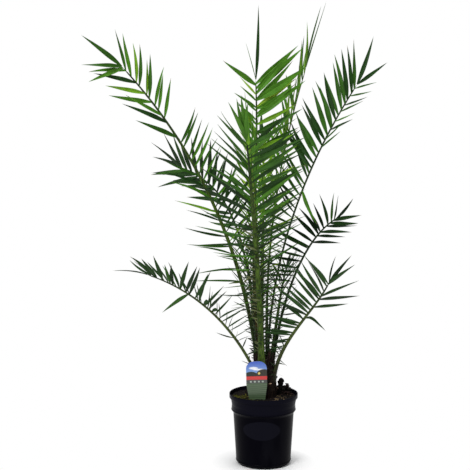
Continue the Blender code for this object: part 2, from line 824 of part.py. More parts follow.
def free_leaflets(name, plan, obstacles):
    """Leaflets of one frond that touch nothing but their own rachis."""
    kept = []
    for place in leaflet_places(name, plan):
        for change in LEAFLET_TRIES:
            points, faces = leaflet_shape(plan, place, change, LEAFLET_ROOM)
            test = BVHTree.FromPolygons(points, faces)
            if any(test.overlap(other) for other in obstacles):
                continue
            kept.append(leaflet_shape(plan, place, change, 0.0))
            break
    return kept


def join_frond(rachis, leaflets):
    """One solid from a rachis and the leaflets whose roots are sunk in it."""
    loose = bpy.data.collections.new(rachis.name + "_leaflets")
    bpy.context.scene.collection.children.link(loose)
    for points, faces in leaflets:
        mesh = mesh_from_faces("leaflet", points, outward_facing(points, faces))
        add_object("leaflet", mesh, loose)
    boolean = rachis.modifiers.new("join", "BOOLEAN")
    boolean.operation = "UNION"
    boolean.solver = "EXACT"
    boolean.operand_type = "COLLECTION"
    boolean.collection = loose
    bpy.context.view_layer.objects.active = rachis
    bpy.ops.object.modifier_apply(modifier=boolean.name)
    for item in list(loose.objects):
        bpy.data.objects.remove(item, do_unlink=True)
    bpy.data.collections.remove(loose)


def build_fronds(parts, cutters, fixed):
    """Every frond, each clear of the others and of the stem, soil and label."""
    stem_room = turned("stem_room", stem_profile(GAP), STEM_SEGMENTS, cutters)
    rachises = {}
    walls = {}
    for name, plan in FRONDS.items():
        rachises[name] = rachis_tube(name, plan, 0.0, parts)
        swollen = rachis_tube(name + "_room", plan, LEAFLET_ROOM, cutters)
        walls[name] = tree_of(swollen)
        bpy.data.objects.remove(swollen, do_unlink=True)
    blades = {}
    for name, plan in FRONDS.items():
        obstacles = fixed + [wall for other, wall in walls.items() if other != name]
        for trees in blades.values():
            obstacles += trees
        leaflets = free_leaflets(name, plan, obstacles)
        blades[name] = [BVHTree.FromPolygons(points, faces) for points, faces in leaflets]
        join_frond(rachises[name], leaflets)
        cut(rachises[name], stem_room)
        rachises[name].data.materials.clear()
        rachises[name].data.materials.append(material(name + "_leaf", plan["green"], 0.45))


def main():
    """Build the plant in its pot."""
    clear_scene()
    parts = new_collection("potted_canary_island_date_palm")
    cutters = new_collection("cutters")
    build_pot(parts, cutters)
    build_soil(parts, cutters)
    label = build_label(parts)
    build_stem(parts)
    bpy.context.view_layer.update()
    build_fronds(parts, cutters, [tree_of(label)])


main()
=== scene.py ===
"""Potted canary island date palm: the finish of every surface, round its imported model.

Units are metres with +Z up, and the origin is the centre of the pot's flat underside. Every
frond grows again here by the source's rule, with finer leaflets, stalks and spines.
"""

import math
import random

import bmesh
import bpy
from mathutils import Matrix, Vector, noise


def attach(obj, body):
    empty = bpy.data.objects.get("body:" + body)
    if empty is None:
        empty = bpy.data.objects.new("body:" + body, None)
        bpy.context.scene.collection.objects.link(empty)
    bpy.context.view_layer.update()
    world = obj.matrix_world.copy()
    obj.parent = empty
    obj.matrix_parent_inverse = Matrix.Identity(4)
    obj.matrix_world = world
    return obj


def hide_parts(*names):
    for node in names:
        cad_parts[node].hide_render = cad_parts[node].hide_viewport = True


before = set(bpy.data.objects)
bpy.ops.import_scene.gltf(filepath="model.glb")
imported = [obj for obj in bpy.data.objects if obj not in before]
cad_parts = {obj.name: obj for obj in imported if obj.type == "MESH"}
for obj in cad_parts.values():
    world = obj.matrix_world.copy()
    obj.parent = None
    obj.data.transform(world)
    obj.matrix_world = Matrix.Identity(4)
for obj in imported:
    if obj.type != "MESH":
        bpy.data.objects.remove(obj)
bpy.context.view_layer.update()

# Nursery pot, as in the source
POT_HEIGHT = 0.176
POT_WALL = 0.0016
POT_FLOOR = 0.0022
LIP_RADIUS = 0.0850
LIP_DEPTH = 0.0110
COLLAR_TOP_RADIUS = 0.0820
COLLAR_FOOT_RADIUS = 0.0796
COLLAR_FOOT_Z = 0.1340
BODY_TOP_RADIUS = 0.0752
BODY_TOP_Z = 0.1280
BODY_FOOT_RADIUS = 0.0682
BODY_FOOT_Z = 0.0105
FOOT_BEAD_RADIUS = 0.0689
FOOT_BEAD_Z = 0.0080
FOOT_RADIUS = 0.0630
DRAIN_COUNT = 8
DRAIN_RADIUS = 0.0045
DRAIN_RING_RADIUS = 0.0440

# The pot's finer lip and the faint oval of painted reflection on its front: middle and half size
POT_SEGMENTS = 160
LIP_BEND = 0.0011
OVAL_MIDDLE = (-0.0060, 0.0975)
OVAL_SIZE = (0.0450, 0.0235)

# Soil, as in the source, how far it is heaped against the pot's wall, and its rings and sides
SOIL_TOP_Z = 0.163
SOIL_CROWN = 0.0025
SOIL_RADIUS = 0.0795
SOIL_HEAPED = 0.0042
SOIL_RINGS = 56
SOIL_SIDES = 150

# Clods and crumbs in the soil: waves a metre, the noise's depth, its fineness, octaves and height
SOIL_RELIEF = ((90.0, 1.7, 0.7, 4, 0.0022), (420.0, 6.1, 0.8, 3, 0.0010))

# Care label, as in the source: height and width from its point to its shoulder
LABEL_WIDTH = 0.0510
LABEL_OUTLINE = ((0.1200, 0.0070), (0.1320, 0.0200), (0.1650, 0.0380), (0.2060, LABEL_WIDTH))
LABEL_THICKNESS = 0.0010
LABEL_TOP_Z = 0.2630
LABEL_ARCH = 0.0180
LABEL_FLAT_TOP = 0.25
LABEL_X = -0.0165
LABEL_Y = -0.0430
LABEL_LEAN = math.radians(-3.0)
LABEL_TILT = math.radians(-1.5)
LABEL_CURL = 0.0011

# The label's columns across, rows up its sides and rows over its arch
LABEL_COLUMNS = 16
LABEL_ROWS = 40
LABEL_ARCH_ROWS = 14

# Ellipses of the label's picture, from the back: middle, half size, softness and colour
LABEL_SHAPES = (
    (0.36, 0.885, 0.200, 0.022, 0.50, (0.88, 0.90, 0.94)),
    (0.60, 0.860, 0.260, 0.014, 0.50, (0.88, 0.90, 0.94)),
    (0.24, 0.740, 0.360, 0.085, 0.06, (0.006, 0.012, 0.006)),
    (0.84, 0.760, 0.360, 0.105, 0.06, (0.020, 0.016, 0.006)),
    (0.62, 0.795, 0.055, 0.021, 0.10, (0.72, 0.55, 0.14)),
)
LABEL_DOTS = (0.22, 0.41, 0.60, 0.79)

# Short fibrous stem, as in the source: radius at each height above the soil
STEM_RINGS = (
    (0.0000, 0.0290), (0.0150, 0.0310), (0.0400, 0.0305), (0.0650, 0.0280),
    (0.0850, 0.0235), (0.0980, 0.0165), (0.1060, 0.0080), (0.1100, 0.0000),
)
STEM_ROWS = 70
STEM_SIDES = 120

# The stem's relief: spirals of old leaf bases each way round, their rows a metre, how far the
# bases, the fibre and the broad swells stand out, and how far all of it is sunk
LEAF_BASE_SPIRALS = (5.0, -3.0)
LEAF_BASE_ROWS = 46.0
LEAF_BASE_RELIEF = 0.0030
FIBRE_RELIEF = 0.0011
SWELL_RELIEF = 0.0010
BARK_SUNK = 0.0012

# Dry sheaths beside the stalks: foot, lean, bearing, length, width and finish
SHEATHS = (
    ((-0.0240, -0.0100, 0.2200), 2.0, 195.0, 0.066, 0.020, 2),
    ((-0.0170, -0.0160, 0.2250), 4.0, 235.0, 0.056, 0.016, 0),
    ((0.0130, -0.0140, 0.2300), 6.0, 300.0, 0.062, 0.017, 0),
    ((0.0170, -0.0080, 0.2250), 8.0, 340.0, 0.056, 0.016, 2),
    ((0.0060, -0.0210, 0.2050), 3.0, 280.0, 0.034, 0.015, 2),
)

# Old sheaths and cut ends on the stem: how many, the first one's bearing and the turn to the next
OLD_SHEATHS = 12
OLD_SHEATH_FIRST = 20.0
OLD_SHEATH_TURN = 13.0
CUT_ENDS = 11
CUT_END_FIRST = 268.0
CUT_END_TURN = 97.0
CUT_END_SIDES = 8
CUT_END_SIZE = (0.0075, 0.0034)

# Fibre round the stem, and loose in the crown's foot
WOUND_FIBRES = 620
LOOSE_FIBRES = 90

# Dark stub beside the stem, as lumps on top of each other: place, height and size
STUB = (
    (0.0405, 0.0170, 0.0050, 0.0108),
    (0.0412, 0.0175, 0.0140, 0.0106),
    (0.0422, 0.0180, 0.0230, 0.0102),
    (0.0436, 0.0185, 0.0320, 0.0096),
    (0.0446, 0.0185, 0.0395, 0.0086),
)

# Heap of bark beside the stem: lumps, middle, reach, height, and how near the wall it comes
HEAP_LUMPS = 150
HEAP_MIDDLE = (0.0580, 0.0260)
HEAP_REACH = (0.0140, 0.0180)
HEAP_HEIGHT = 0.0270
HEAP_LIMIT = 0.0735

# Bark scraps that stand in the soil: foot, lean, bearing, length, width and finish
SCRAPS = (
    (0.0560, 0.0250, 40.0, 10.0, 0.022, 0.010, 0),
    (0.0620, 0.0200, 50.0, 75.0, 0.020, 0.009, 1),
    (0.0420, 0.0300, 48.0, 140.0, 0.024, 0.010, 3),
)

# Crumbs and bark chips: how many, their sizes, nearest and furthest place, lift, breadth,
# thickness and finishes
LUMPS = (
    (900, (0.0007, 0.0026), (0.026, 0.0765), 0.0, 0.8, 0.7, (0, 0, 0, 1)),
    (46, (0.0035, 0.0075), (0.034, 0.072), 0.0008, 0.5, 0.22, (0, 1, 1, 2)),
)

# Moss and straw: how many of each, and how far out they reach
MOSS_TUFTS = 17
MOSS_STRANDS = 520
MOSS_LIMIT = 0.0765
STRAWS = 18
STRAW_LIMIT = 0.0770

# The fronds' rule, as in the source
HANDLE_SHARE = 0.34
RACHIS_TIP_RADIUS = 0.0012
RACHIS_TAPER = 0.75
LENGTH_AT_ENDS = 0.88
FOOT_LENGTH_SHARE = 0.40
FOOT_WIDTH_SHARE = 0.34
LEAFLET_BROAD_FROM = 0.72
LAST_PAIR_SHARE = 0.985
PAIR_STAGGER = 0.3
SEED = 11

# What makes the leaflets here finer than the source's
ANGLE_JITTER = 7.0
RISE_JITTER = 11.0
LENGTH_JITTER = 0.11
PLACE_JITTER = 0.25
BLADE_STEPS = 12
BLADE_WIDEST = 0.34
BLADE_ROOT_WIDTH = 0.30
BLADE_TAPER = 1.45
BLADE_FOLD = 0.42
BLADE_THICKNESS = 0.0005
BLADE_LIFT_AT_ROOT = 1.15
BLADE_LIFT_LOSS = 0.75
KINK_FROM = 0.30
KINK_LENGTH = 0.25
BLADE_BOW = 9.0
BLADE_SWAY = 7.0
BLADE_TWIST = 16.0
DRY_TIP_CHANCE = 0.25
DRY_TIP_FROM = 0.93

# A blade's upper side: place across and lift of its columns of points, as shares
BLADE_COLUMNS = ((-1.0, 1.0), (-0.52, 0.62), (0.0, 0.0), (0.52, 0.62), (1.0, 1.0))

# Stalks: rings along and how they crowd at the foot, sides round, how the foot spreads into a
# sheath, the flat and grooved upper side, and the streaks
STALK_RINGS = 44
STALK_RING_CROWDING = 1.15
STALK_SIDES = 12
SHEATH_SPREAD = 0.75
SHEATH_LENGTH = 0.045
SHEATH_THINNING = 0.25
STALK_BREADTH = 1.18
STALK_TOP_FLATNESS = 0.55
STALK_GROOVE = 0.22
STALK_GROOVE_LENGTH = 0.5
STREAK_DARK = 0.42
STREAK_LIGHT = 1.55

# Spines: where they start, how unevenly they stand, their angles from the stalk, how far they
# rise from its side, how they bend, the spread of their lengths, and their widths
SPINES_FROM = 0.10
SPINE_STAGGER = 0.7
SPINE_ANGLES = (48.0, 88.0)
SPINE_RISES = (-45.0, 50.0)
SPINE_BENDS = (-12.0, 20.0)
SPINE_SPREAD = (0.7, 1.2)
SPINE_WIDTHS = (0.0020, 0.0028)
SPINE_BREADTH = 0.04
SPINE_TWIST = 30.0

# Spines that cross the stalk's back, and curled ones, with their finish
CROSSING_CHANCE = 0.25
CROSSING_RISES = (-170.0, -120.0)
CURLED_CHANCE = 0.12
CURLED_BENDS = (40.0, 110.0)
CURLED_RADII = (0.0006, 0.0011)
CURLED_FINISH = 4

# Studio: floor, where it passes into plain white, surroundings and camera
FLOOR_REACH = 14.0
FLOOR_Z = -0.0003
FLOOR_SIDES = 64
FLOOR_FADE = (0.066, 0.130)
WORLD_COLOUR = (0.96, 0.98, 1.0)
WORLD_STRENGTH = 0.24
CAMERA_PLACE = (-0.071, -2.6, 0.82)
CAMERA_DIP = 5.5
CAMERA_SENSOR = 36.0
PHOTO_WIDTH = 470.0
FOCAL_PIXELS = 1065.0

# Soft lights: place, the height on the plant that they aim at, size and power
LIGHTS = {
    "key": ((-1.3, -1.9, 2.4), 0.65, 1.1, 58.0),
    "fill": ((1.7, -1.3, 1.5), 0.60, 1.3, 8.0),
    "back": ((0.5, 1.9, 2.3), 0.70, 1.3, 17.0),
    "top": ((0.0, -0.1, 2.9), 0.50, 1.6, 26.0),
}

# Colours, as linear values
# Leaf greens, from light to dark, are partly the leaflets' own tones and partly painted light: bright and
# sun are the painted glow of backlit leaflets, and deep and shade are painted shade inside and behind the
# crown
LEAF_TONES = {
    "bright": (0.270, 0.440, 0.040),
    "sun": (0.125, 0.275, 0.014),
    "fresh": (0.054, 0.165, 0.011),
    "mid": (0.026, 0.088, 0.008),
    "deep": (0.011, 0.040, 0.006),
    "shade": (0.006, 0.019, 0.005),
}
UNDERSIDE_GREY = (0.08, 0.13, 0.06)
UNDERSIDE_SHARE = 0.12
STALK_TONES = {
    "yellow": (0.075, 0.115, 0.016),
    "olive": (0.048, 0.072, 0.013),
    "green": (0.046, 0.084, 0.009),
    "dark": (0.013, 0.028, 0.006),
    "brown": (0.055, 0.028, 0.009),
    "bruised": (0.017, 0.018, 0.008),
}

# Mottled looks: colour, roughness, grain and gloss
MOTTLED = {
    "leaf_tip_dry": ((0.16, 0.13, 0.07), 0.8, 200.0, 0.4),
    "cut_end": ((0.30, 0.20, 0.13), 0.85, 300.0, 0.4),
    "fibre_dark": ((0.008, 0.005, 0.004), 0.85, 150.0, 0.2),
    "fibre": ((0.034, 0.018, 0.012), 0.85, 150.0, 0.2),
    "fibre_pale": ((0.13, 0.10, 0.09), 0.85, 150.0, 0.2),
    "crumb": ((0.004, 0.003, 0.0025), 0.9, 500.0, 0.15),
    "bark_chip": ((0.016, 0.007, 0.006), 0.85, 400.0, 0.2),
    "bark_pale": ((0.050, 0.030, 0.022), 0.85, 400.0, 0.2),
    "moss": ((0.040, 0.046, 0.006), 0.9, 300.0, 0.2),
    "moss_pale": ((0.140, 0.130, 0.018), 0.9, 300.0, 0.2),
    "straw": ((0.26, 0.18, 0.085), 0.8, 300.0, 0.4),
    "label_back": ((0.62, 0.63, 0.60), 0.4, 30.0, 0.4),
    "spine_green": ((0.070, 0.110, 0.018), 0.5, 200.0, 0.2),
    "spine_dry": ((0.13, 0.15, 0.06), 0.7, 200.0, 0.2),
    "spine_dark": ((0.014, 0.032, 0.008), 0.6, 200.0, 0.2),
    "spine_dark_under": ((0.020, 0.040, 0.012), 0.6, 200.0, 0.2),
    "spine_brown": ((0.050, 0.034, 0.018), 0.7, 200.0, 0.2),
}

# Streaked looks: dark and light colour
STREAKED = {
    "bark": ((0.003, 0.002, 0.0015), (0.022, 0.012, 0.007)),
    "sheath": ((0.007, 0.003, 0.003), (0.034, 0.014, 0.009)),
    "sheath_dark": ((0.003, 0.002, 0.0015), (0.018, 0.009, 0.006)),
}


def row(start, rise, lengths, angles, gaps=()):
    """One side's row of leaflets, as in the source: lengths and angles at even steps."""
    return {"start": start, "rise": rise, "lengths": lengths, "angles": angles, "gaps": gaps}


def single(share, hand, angle, rise, length, width=0.100):
    """One leaflet on its own, as in the source."""
    return (share, hand, angle, rise, length, width)


def frond_plan(foot, tip, rows, singles=(), **values):
    """Driving values of one frond, as in the source."""
    bare = min(rows[0]["start"], rows[1]["start"])
    return dict(
        values, foot=Vector(foot), tip=Vector(tip), rows=rows, singles=singles, bare=bare
    )


FRONDS = {
    "frond_centre_front": frond_plan(
        foot=(-0.005, -0.017, 0.235), foot_growth=(9, 263),
        tip=(-0.045, -0.240, 0.800), tip_growth=(45, 264),
        roll=(0, 0), pairs=20, grown=0.62, girth=0.0070, terminal=(0.127, 2, 3, 0.090),
        rows=(
            row(0.22, 8, (0.200, 0.172, 0.172, 0.135, 0.121), (118, 98, 76, 46, 30)),
            row(0.22, 14, (0.190, 0.178, 0.155, 0.138, 0.170), (70, 64, 64, 63, 49)),
        ),
        singles=(
            single(1.0, 0, 17, 3, 0.118, 0.090), single(1.0, 0, 9, 12, 0.112, 0.090),
            single(1.0, 0, -5, 8, 0.108, 0.090),
        ),
    ),
    "frond_left_upper": frond_plan(
        foot=(-0.015, -0.003, 0.235), foot_growth=(6, 208),
        tip=(-0.330, -0.140, 0.970), tip_growth=(46, 208),
        roll=(-80, -80), pairs=22, grown=0.10, girth=0.0052, terminal=(0.129, -15, 12, 0.090),
        rows=(
            row(0.20, 0, (0.122, 0.116, 0.108, 0.100, 0.105), (70, 60, 60, 64, 28), gaps=((0.74, 0.81),)),
            row(0.20, 8, (0.155, 0.138, 0.121, 0.138, 0.121), (78, 62, 42, 33, 44), gaps=((0.61, 0.745),)),
        ),
        singles=(single(1.0, -1, 48, 20, 0.120), single(0.995, -1, 66, 14, 0.110)),
    ),
    "frond_left_lower": frond_plan(
        foot=(-0.018, -0.012, 0.225), foot_growth=(27, 214),
        tip=(-0.275, -0.140, 0.490), tip_growth=(71, 202),
        roll=(10, 18), pairs=16, grown=0.22, girth=0.0048, terminal=(0.090, -5, -12, 0.090),
        rows=(
            row(0.26, 54, (0.070, 0.068, 0.068, 0.076, 0.071), (92, 84, 76, 60, 42)),
            row(0.26, 28, (0.108, 0.090, 0.098, 0.078, 0.086), (84, 82, 66, 62, 25)),
        ),
        singles=(single(0.71, 1, 81, -40, 0.085, 0.130),),
    ),
    "frond_right_lower": frond_plan(
        foot=(0.024, -0.012, 0.205), foot_growth=(13, 287),
        tip=(0.147, -0.150, 0.472), tip_growth=(40, 297),
        roll=(-40, -60), pairs=14, grown=0.20, girth=0.0046, terminal=(0.094, -10, 12, 0.090),
        rows=(
            row(0.26, 30, (0.100, 0.104, 0.104, 0.100, 0.104), (138, 132, 110, 84, 84)),
            row(
                0.72, 18, (0.080, 0.080, 0.084, 0.098, 0.118), (124, 102, 80, 55, 19),
                gaps=((0.755, 0.790), (0.910, 0.955)),
            ),
        ),
        singles=(single(1.0, 1, 10, 15, 0.080, 0.060),),
    ),
    "frond_right_upper": frond_plan(
        foot=(0.010, -0.004, 0.240), foot_growth=(6, 95),
        tip=(0.235, 0.090, 0.940), tip_growth=(36, 22),
        roll=(-15, 60), pairs=21, grown=0.45, girth=0.0042, terminal=(0.129, -14, 6, 0.090),
        rows=(
            row(0.73, 15, (0.100, 0.100, 0.090, 0.072, 0.066), (44, 42, 38, 44, 52)),
            row(0.24, 23, (0.126, 0.130, 0.146, 0.136, 0.130), (108, 82, 54, 48, 36)),
        ),
        singles=(single(1.0, 1, 20, -20, 0.100), single(0.60, 1, 133, -40, 0.100)),
    ),
    "frond_centre_back": frond_plan(
        foot=(-0.002, 0.007, 0.245), foot_growth=(11, 161),
        tip=(-0.020, 0.050, 0.950), tip_growth=(5, 123),
        roll=(0, 0), pairs=18, grown=0.40, girth=0.0052, terminal=(0.185, 5, 0, 0.050),
        rows=(
            row(0.28, 20, (0.134, 0.126, 0.118, 0.116, 0.166), (48, 52, 59, 62, 43)),
            row(0.28, 20, (0.120, 0.125, 0.120, 0.090, 0.072), (60, 52, 46, 46, 68), gaps=((0.955, 1.00),)),
        ),
        singles=(
            single(1.0, -1, 24, 35, 0.095, 0.040), single(0.98, -1, 63, 20, 0.120, 0.130),
            single(0.93, 1, 57, 15, 0.150, 0.140), single(0.90, 1, 60, 18, 0.140, 0.120),
        ),
    ),
    "frond_right_top": frond_plan(
        foot=(0.011, 0.011, 0.240), foot_growth=(10, 108),
        tip=(0.115, 0.210, 0.990), tip_growth=(22, 38),
        roll=(-45, -62), pairs=17, grown=0.40, girth=0.0042, terminal=(0.178, 13, 0, 0.080),
        rows=(
            row(0.28, 20, (0.160, 0.130), (72, 44, 30)),
            row(0.28, 20, (0.155, 0.125), (72, 44, 30)),
        ),
        singles=(single(1.0, 1, 34, 5, 0.165, 0.080), single(0.99, 1, 28, 35, 0.125, 0.060)),
    ),
    "frond_right_middle": frond_plan(
        foot=(0.020, 0.008, 0.230), foot_growth=(21, 68),
        tip=(0.195, 0.190, 0.595), tip_growth=(69, 41),
        roll=(0, 75), pairs=17, grown=0.30, girth=0.0040, terminal=(0.091, -14, -3, 0.090),
        rows=(
            row(0.75, 15, (0.060, 0.062, 0.066, 0.077, 0.095), (100, 90, 75, 57, 26)),
            row(0.28, 15, (0.082, 0.084, 0.086, 0.088, 0.080), (124, 112, 98, 82, 54)),
        ),
        singles=(
            single(0.47, 1, 92, 38, 0.045), single(0.34, 1, 90, 38, 0.035),
        ),
    ),
    "frond_left_back": frond_plan(
        foot=(-0.012, 0.013, 0.235), foot_growth=(6, 150),
        tip=(-0.205, 0.120, 0.725), tip_growth=(78, 160),
        roll=(60, 80), pairs=17, grown=0.30, girth=0.0040, terminal=(0.110, -28, 0, 0.090),
        rows=(
            row(0.30, 0, (0.112, 0.110), (90, 56, 22)),
            row(0.30, 15, (0.112, 0.110), (90, 70, 52)),
        ),
        singles=(
            single(1.0, -1, 48, 15, 0.110), single(0.99, 0, 0, 15, 0.110), single(0.97, 1, 21, 5, 0.110),
            single(0.91, 1, 45, -40, 0.110),
        ),
    ),
    "frond_back": frond_plan(
        foot=(-0.004, 0.022, 0.230), foot_growth=(15, 92),
        tip=(0.005, 0.270, 0.800), tip_growth=(52, 90),
        roll=(0, 0), pairs=15, grown=0.40, girth=0.0048, terminal=(0.130, 0, 0, 0.090),
        rows=(row(0.26, 34, (0.110, 0.105), (92, 62, 33)),) * 2,
    ),
    "frond_back_left": frond_plan(
        foot=(-0.012, 0.022, 0.215), foot_growth=(24, 112),
        tip=(-0.050, 0.285, 0.500), tip_growth=(70, 104),
        roll=(0, 0), pairs=13, grown=0.30, girth=0.0044, terminal=(0.100, 0, 0, 0.090),
        rows=(row(0.26, 50, (0.090, 0.085), (92, 62, 33)),) * 2,
    ),
    "frond_back_right": frond_plan(
        foot=(0.014, 0.022, 0.215), foot_growth=(24, 68),
        tip=(0.070, 0.285, 0.455), tip_growth=(72, 80),
        roll=(0, 0), pairs=13, grown=0.30, girth=0.0044, terminal=(0.095, 0, 0, 0.090),
        rows=(row(0.26, 50, (0.085, 0.080), (92, 62, 33)),) * 2,
    ),
    "frond_spear": frond_plan(
        foot=(-0.002, -0.006, 0.250), foot_growth=(2, 180),
        tip=(-0.035, -0.020, 0.800), tip_growth=(6, 200),
        roll=(0, 0), pairs=11, grown=0.10, girth=0.0042, terminal=(0.120, 0, 0, 0.090),
        rows=(row(0.42, 8, (0.125, 0.115), (30, 14)),) * 2,
    ),
}


def damaged(share, hand, angle, rise, length, width, kink=0.0, cut=1.0):
    """A leaflet that is kinked, or cut off at a share of its length."""
    return (share, hand, angle, rise), length, width, {"kink": kink, "cut": cut}


def frond_looks(
    low, high, stalk, slot, finer=(1.5, 1.5), width=0.088,
    spines=(9, (1, -1), 0.016, 0.045, (2,)), spines_past=0.10, extras=(), broadening=1.6,
):
    """How one frond looks and how much finer it is than the source's.

    low and high are the greens dealt to its leaflets near the foot and near the tip, each
    with a weight, and the last of high is the green at its very tip. stalk is the stalk's
    colour at the foot, the middle and the tip. finer is how many times the source's leaflets
    each of its rows has. width is their width as a share of their length, and broadening how
    late they reach it. spines are the spines a side, their sides, the shortest, the longest
    and their finishes, and spines_past is how far into the blade they go. extras are damaged
    leaflets.
    """
    return {
        "low": low, "high": high, "stalk": stalk, "slot": slot, "finer": finer, "width": width,
        "spines": spines, "past": spines_past, "extras": extras, "broadening": broadening,
    }


# Each frond's greens carry painted light: the glowing middle of the crown takes more bright and sun, and
# the back and lower fronds take more of the painted shade of deep and shade
LOW_BACK_LOOKS = frond_looks(
    {"mid": 3, "deep": 6}, {"mid": 2, "deep": 6, "shade": 2},
    ("dark", "green", "dark"), "deep_leaf", spines=(9, (1, -1), 0.010, 0.026, (2,)),
)
LOOKS = {
    "frond_centre_front": frond_looks(
        {"fresh": 4, "mid": 5, "deep": 3}, {"mid": 3, "deep": 5, "shade": 3, "fresh": 0},
        ("green", "green", "dark"), "mid_leaf", finer=(1.1, 1.7), width=0.078,
        spines=(66, (1, -1), 0.007, 0.050, (1, 2, 2)), spines_past=0.50,
    ),
    "frond_left_upper": frond_looks(
        {"fresh": 1, "mid": 5, "deep": 5}, {"sun": 1, "fresh": 7, "mid": 3},
        ("dark", "green", "dark"), "mid_leaf", finer=(1.7, 1.0), width=0.094,
        spines=(18, (1, -1), 0.010, 0.040, (0, 2, 2)),
    ),
    "frond_left_lower": frond_looks(
        {"deep": 6, "shade": 3}, {"mid": 2, "deep": 6, "shade": 2},
        ("olive", "olive", "dark"), "deep_leaf", finer=(1.1, 1.2), width=0.125,
        spines=(8, (-1,), 0.016, 0.050, (2,)),
        extras=(
            damaged(0.59, -1, 72, 15, 0.050, 0.20, cut=0.55),
            damaged(0.52, -1, 78, 10, 0.050, 0.20, cut=0.55),
        ),
    ),
    "frond_right_lower": frond_looks(
        {"deep": 4, "shade": 5}, {"mid": 1, "deep": 6, "shade": 3},
        ("bruised", "olive", "dark"), "deep_leaf", finer=(1.6, 1.0), width=0.114,
        spines=(9, (1,), 0.012, 0.034, (2,)), broadening=0.7,
        extras=(damaged(0.62, -1, 105, 55, 0.085, 0.10, kink=75.0),),
    ),
    "frond_right_upper": frond_looks(
        {"fresh": 2, "mid": 5, "deep": 3}, {"mid": 6, "deep": 4},
        ("dark", "dark", "dark"), "deep_leaf", finer=(1.1, 1.8), width=0.095,
        spines=(16, (1, -1), 0.010, 0.036, (2, 2, 0)),
    ),
    "frond_centre_back": frond_looks(
        {"bright": 5, "sun": 5, "fresh": 4},
        {"bright": 1, "sun": 2, "fresh": 7, "mid": 3, "deep": 0},
        ("brown", "olive", "dark"), "young_leaf", finer=(2.0, 1.7), width=0.104,
        spines=(30, (1, -1), 0.006, 0.024, (1, 2, 2)),
    ),
    "frond_right_top": frond_looks(
        {"sun": 5, "fresh": 5, "mid": 2}, {"sun": 3, "fresh": 4, "mid": 3},
        ("dark", "green", "green"), "young_leaf", width=0.092,
    ),
    "frond_right_middle": frond_looks(
        {"mid": 2, "deep": 6, "shade": 2}, {"mid": 1, "deep": 5, "shade": 4},
        ("dark", "dark", "dark"), "deep_leaf", finer=(1.0, 1.4), width=0.135,
    ),
    "frond_left_back": frond_looks(
        {"mid": 3, "deep": 5, "shade": 2}, {"mid": 1, "deep": 4, "shade": 5},
        ("dark", "dark", "dark"), "deep_leaf", finer=(1.3, 1.3), width=0.108,
    ),
    "frond_back": frond_looks(
        {"bright": 4, "sun": 4, "fresh": 4},
        {"bright": 2, "sun": 3, "fresh": 4, "mid": 4, "deep": 2},
        ("dark", "green", "green"), "mid_leaf", finer=(2.3, 2.3), width=0.084,
    ),
    "frond_back_left": LOW_BACK_LOOKS,
    "frond_back_right": LOW_BACK_LOOKS,
    "frond_spear": frond_looks(
        {"sun": 6, "fresh": 3}, {"sun": 5, "fresh": 5},
        ("brown", "yellow", "yellow"), "young_leaf", finer=(1.8, 1.8),
        spines=(6, (1, -1), 0.005, 0.013, (0, 1)),
    ),
}


# Materials


def shaded(colour, share):
    """Colour times a share."""
    return tuple(channel * share for channel in colour)


class Nodes:
    """A material's or world's nodes, with short ways to add to them."""

    def __init__(self, owner):
        owner.use_nodes = True
        self.owner = owner
        self.tree = owner.node_tree

    def feed(self, socket, value):
        """Give a socket the result of another, a colour or a number."""
        if isinstance(value, bpy.types.NodeSocket):
            self.tree.links.new(value, socket)
        elif socket.type == "RGBA":
            socket.default_value = (*value, 1.0)
        else:
            socket.default_value = value

    def node(self, kind, output, **values):
        """Result of a new node, whose inputs are given by name."""
        made = self.tree.nodes.new("ShaderNode" + kind)
        for name, value in values.items():
            self.feed(made.inputs[name.replace("_", " ")], value)
        return made.outputs[output]

    def blended(self, share, first, second):
        """Shader between two shaders."""
        mix = self.tree.nodes.new("ShaderNodeMixShader")
        for socket, value in zip(mix.inputs, (share, first, second)):
            self.feed(socket, value)
        return mix.outputs["Shader"]

    def mixed(self, share, first, second):
        """Colour between two colours."""
        mix = self.tree.nodes.new("ShaderNodeMix")
        mix.data_type = "RGBA"
        mix.clamp_factor = True
        sockets = [socket for socket in mix.inputs if socket.enabled]
        for socket, value in zip(sockets, (share, first, second)):
            self.feed(socket, value)
        return [socket for socket in mix.outputs if socket.enabled][0]

    def maths(self, operation, *values):
        """Result of a sum on numbers or other results."""
        made = self.tree.nodes.new("ShaderNodeMath")
        made.operation = operation
        for socket, value in zip(made.inputs, values):
            self.feed(socket, value)
        return made.outputs[0]

    def noise(self, scale, detail, stretch=(1.0, 1.0, 1.0)):
        """Noise over the piece's own metres, stretched along the axes."""
        place = self.node("Mapping", "Vector", Vector=self.node("TexCoord", "Object"), Scale=stretch)
        return self.node("TexNoise", "Fac", Vector=place, Scale=scale, Detail=detail)

    def spread(self, value, low, high):
        """Value stretched so that low and high become 0 and 1."""
        return self.node("MapRange", "Result", Value=value, From_Min=low, From_Max=high)

    def places(self, kind, output):
        """A place's three parts: in the piece's metres, or over its surface."""
        parts = self.tree.nodes.new("ShaderNodeSeparateXYZ")
        self.feed(parts.inputs["Vector"], self.node(kind, output))
        return parts.outputs

    def disc(self, across, up, x, y, width, height, soft):
        """1 inside an ellipse with its middle at x and y, 0 outside."""
        squares = []
        for value, middle, half in ((across, x, width), (up, y, height)):
            offset = self.maths("DIVIDE", self.maths("SUBTRACT", value, middle), half)
            squares.append(self.maths("MULTIPLY", offset, offset))
        return self.spread(self.maths("ADD", *squares), 1.0 + soft, 1.0 - soft)


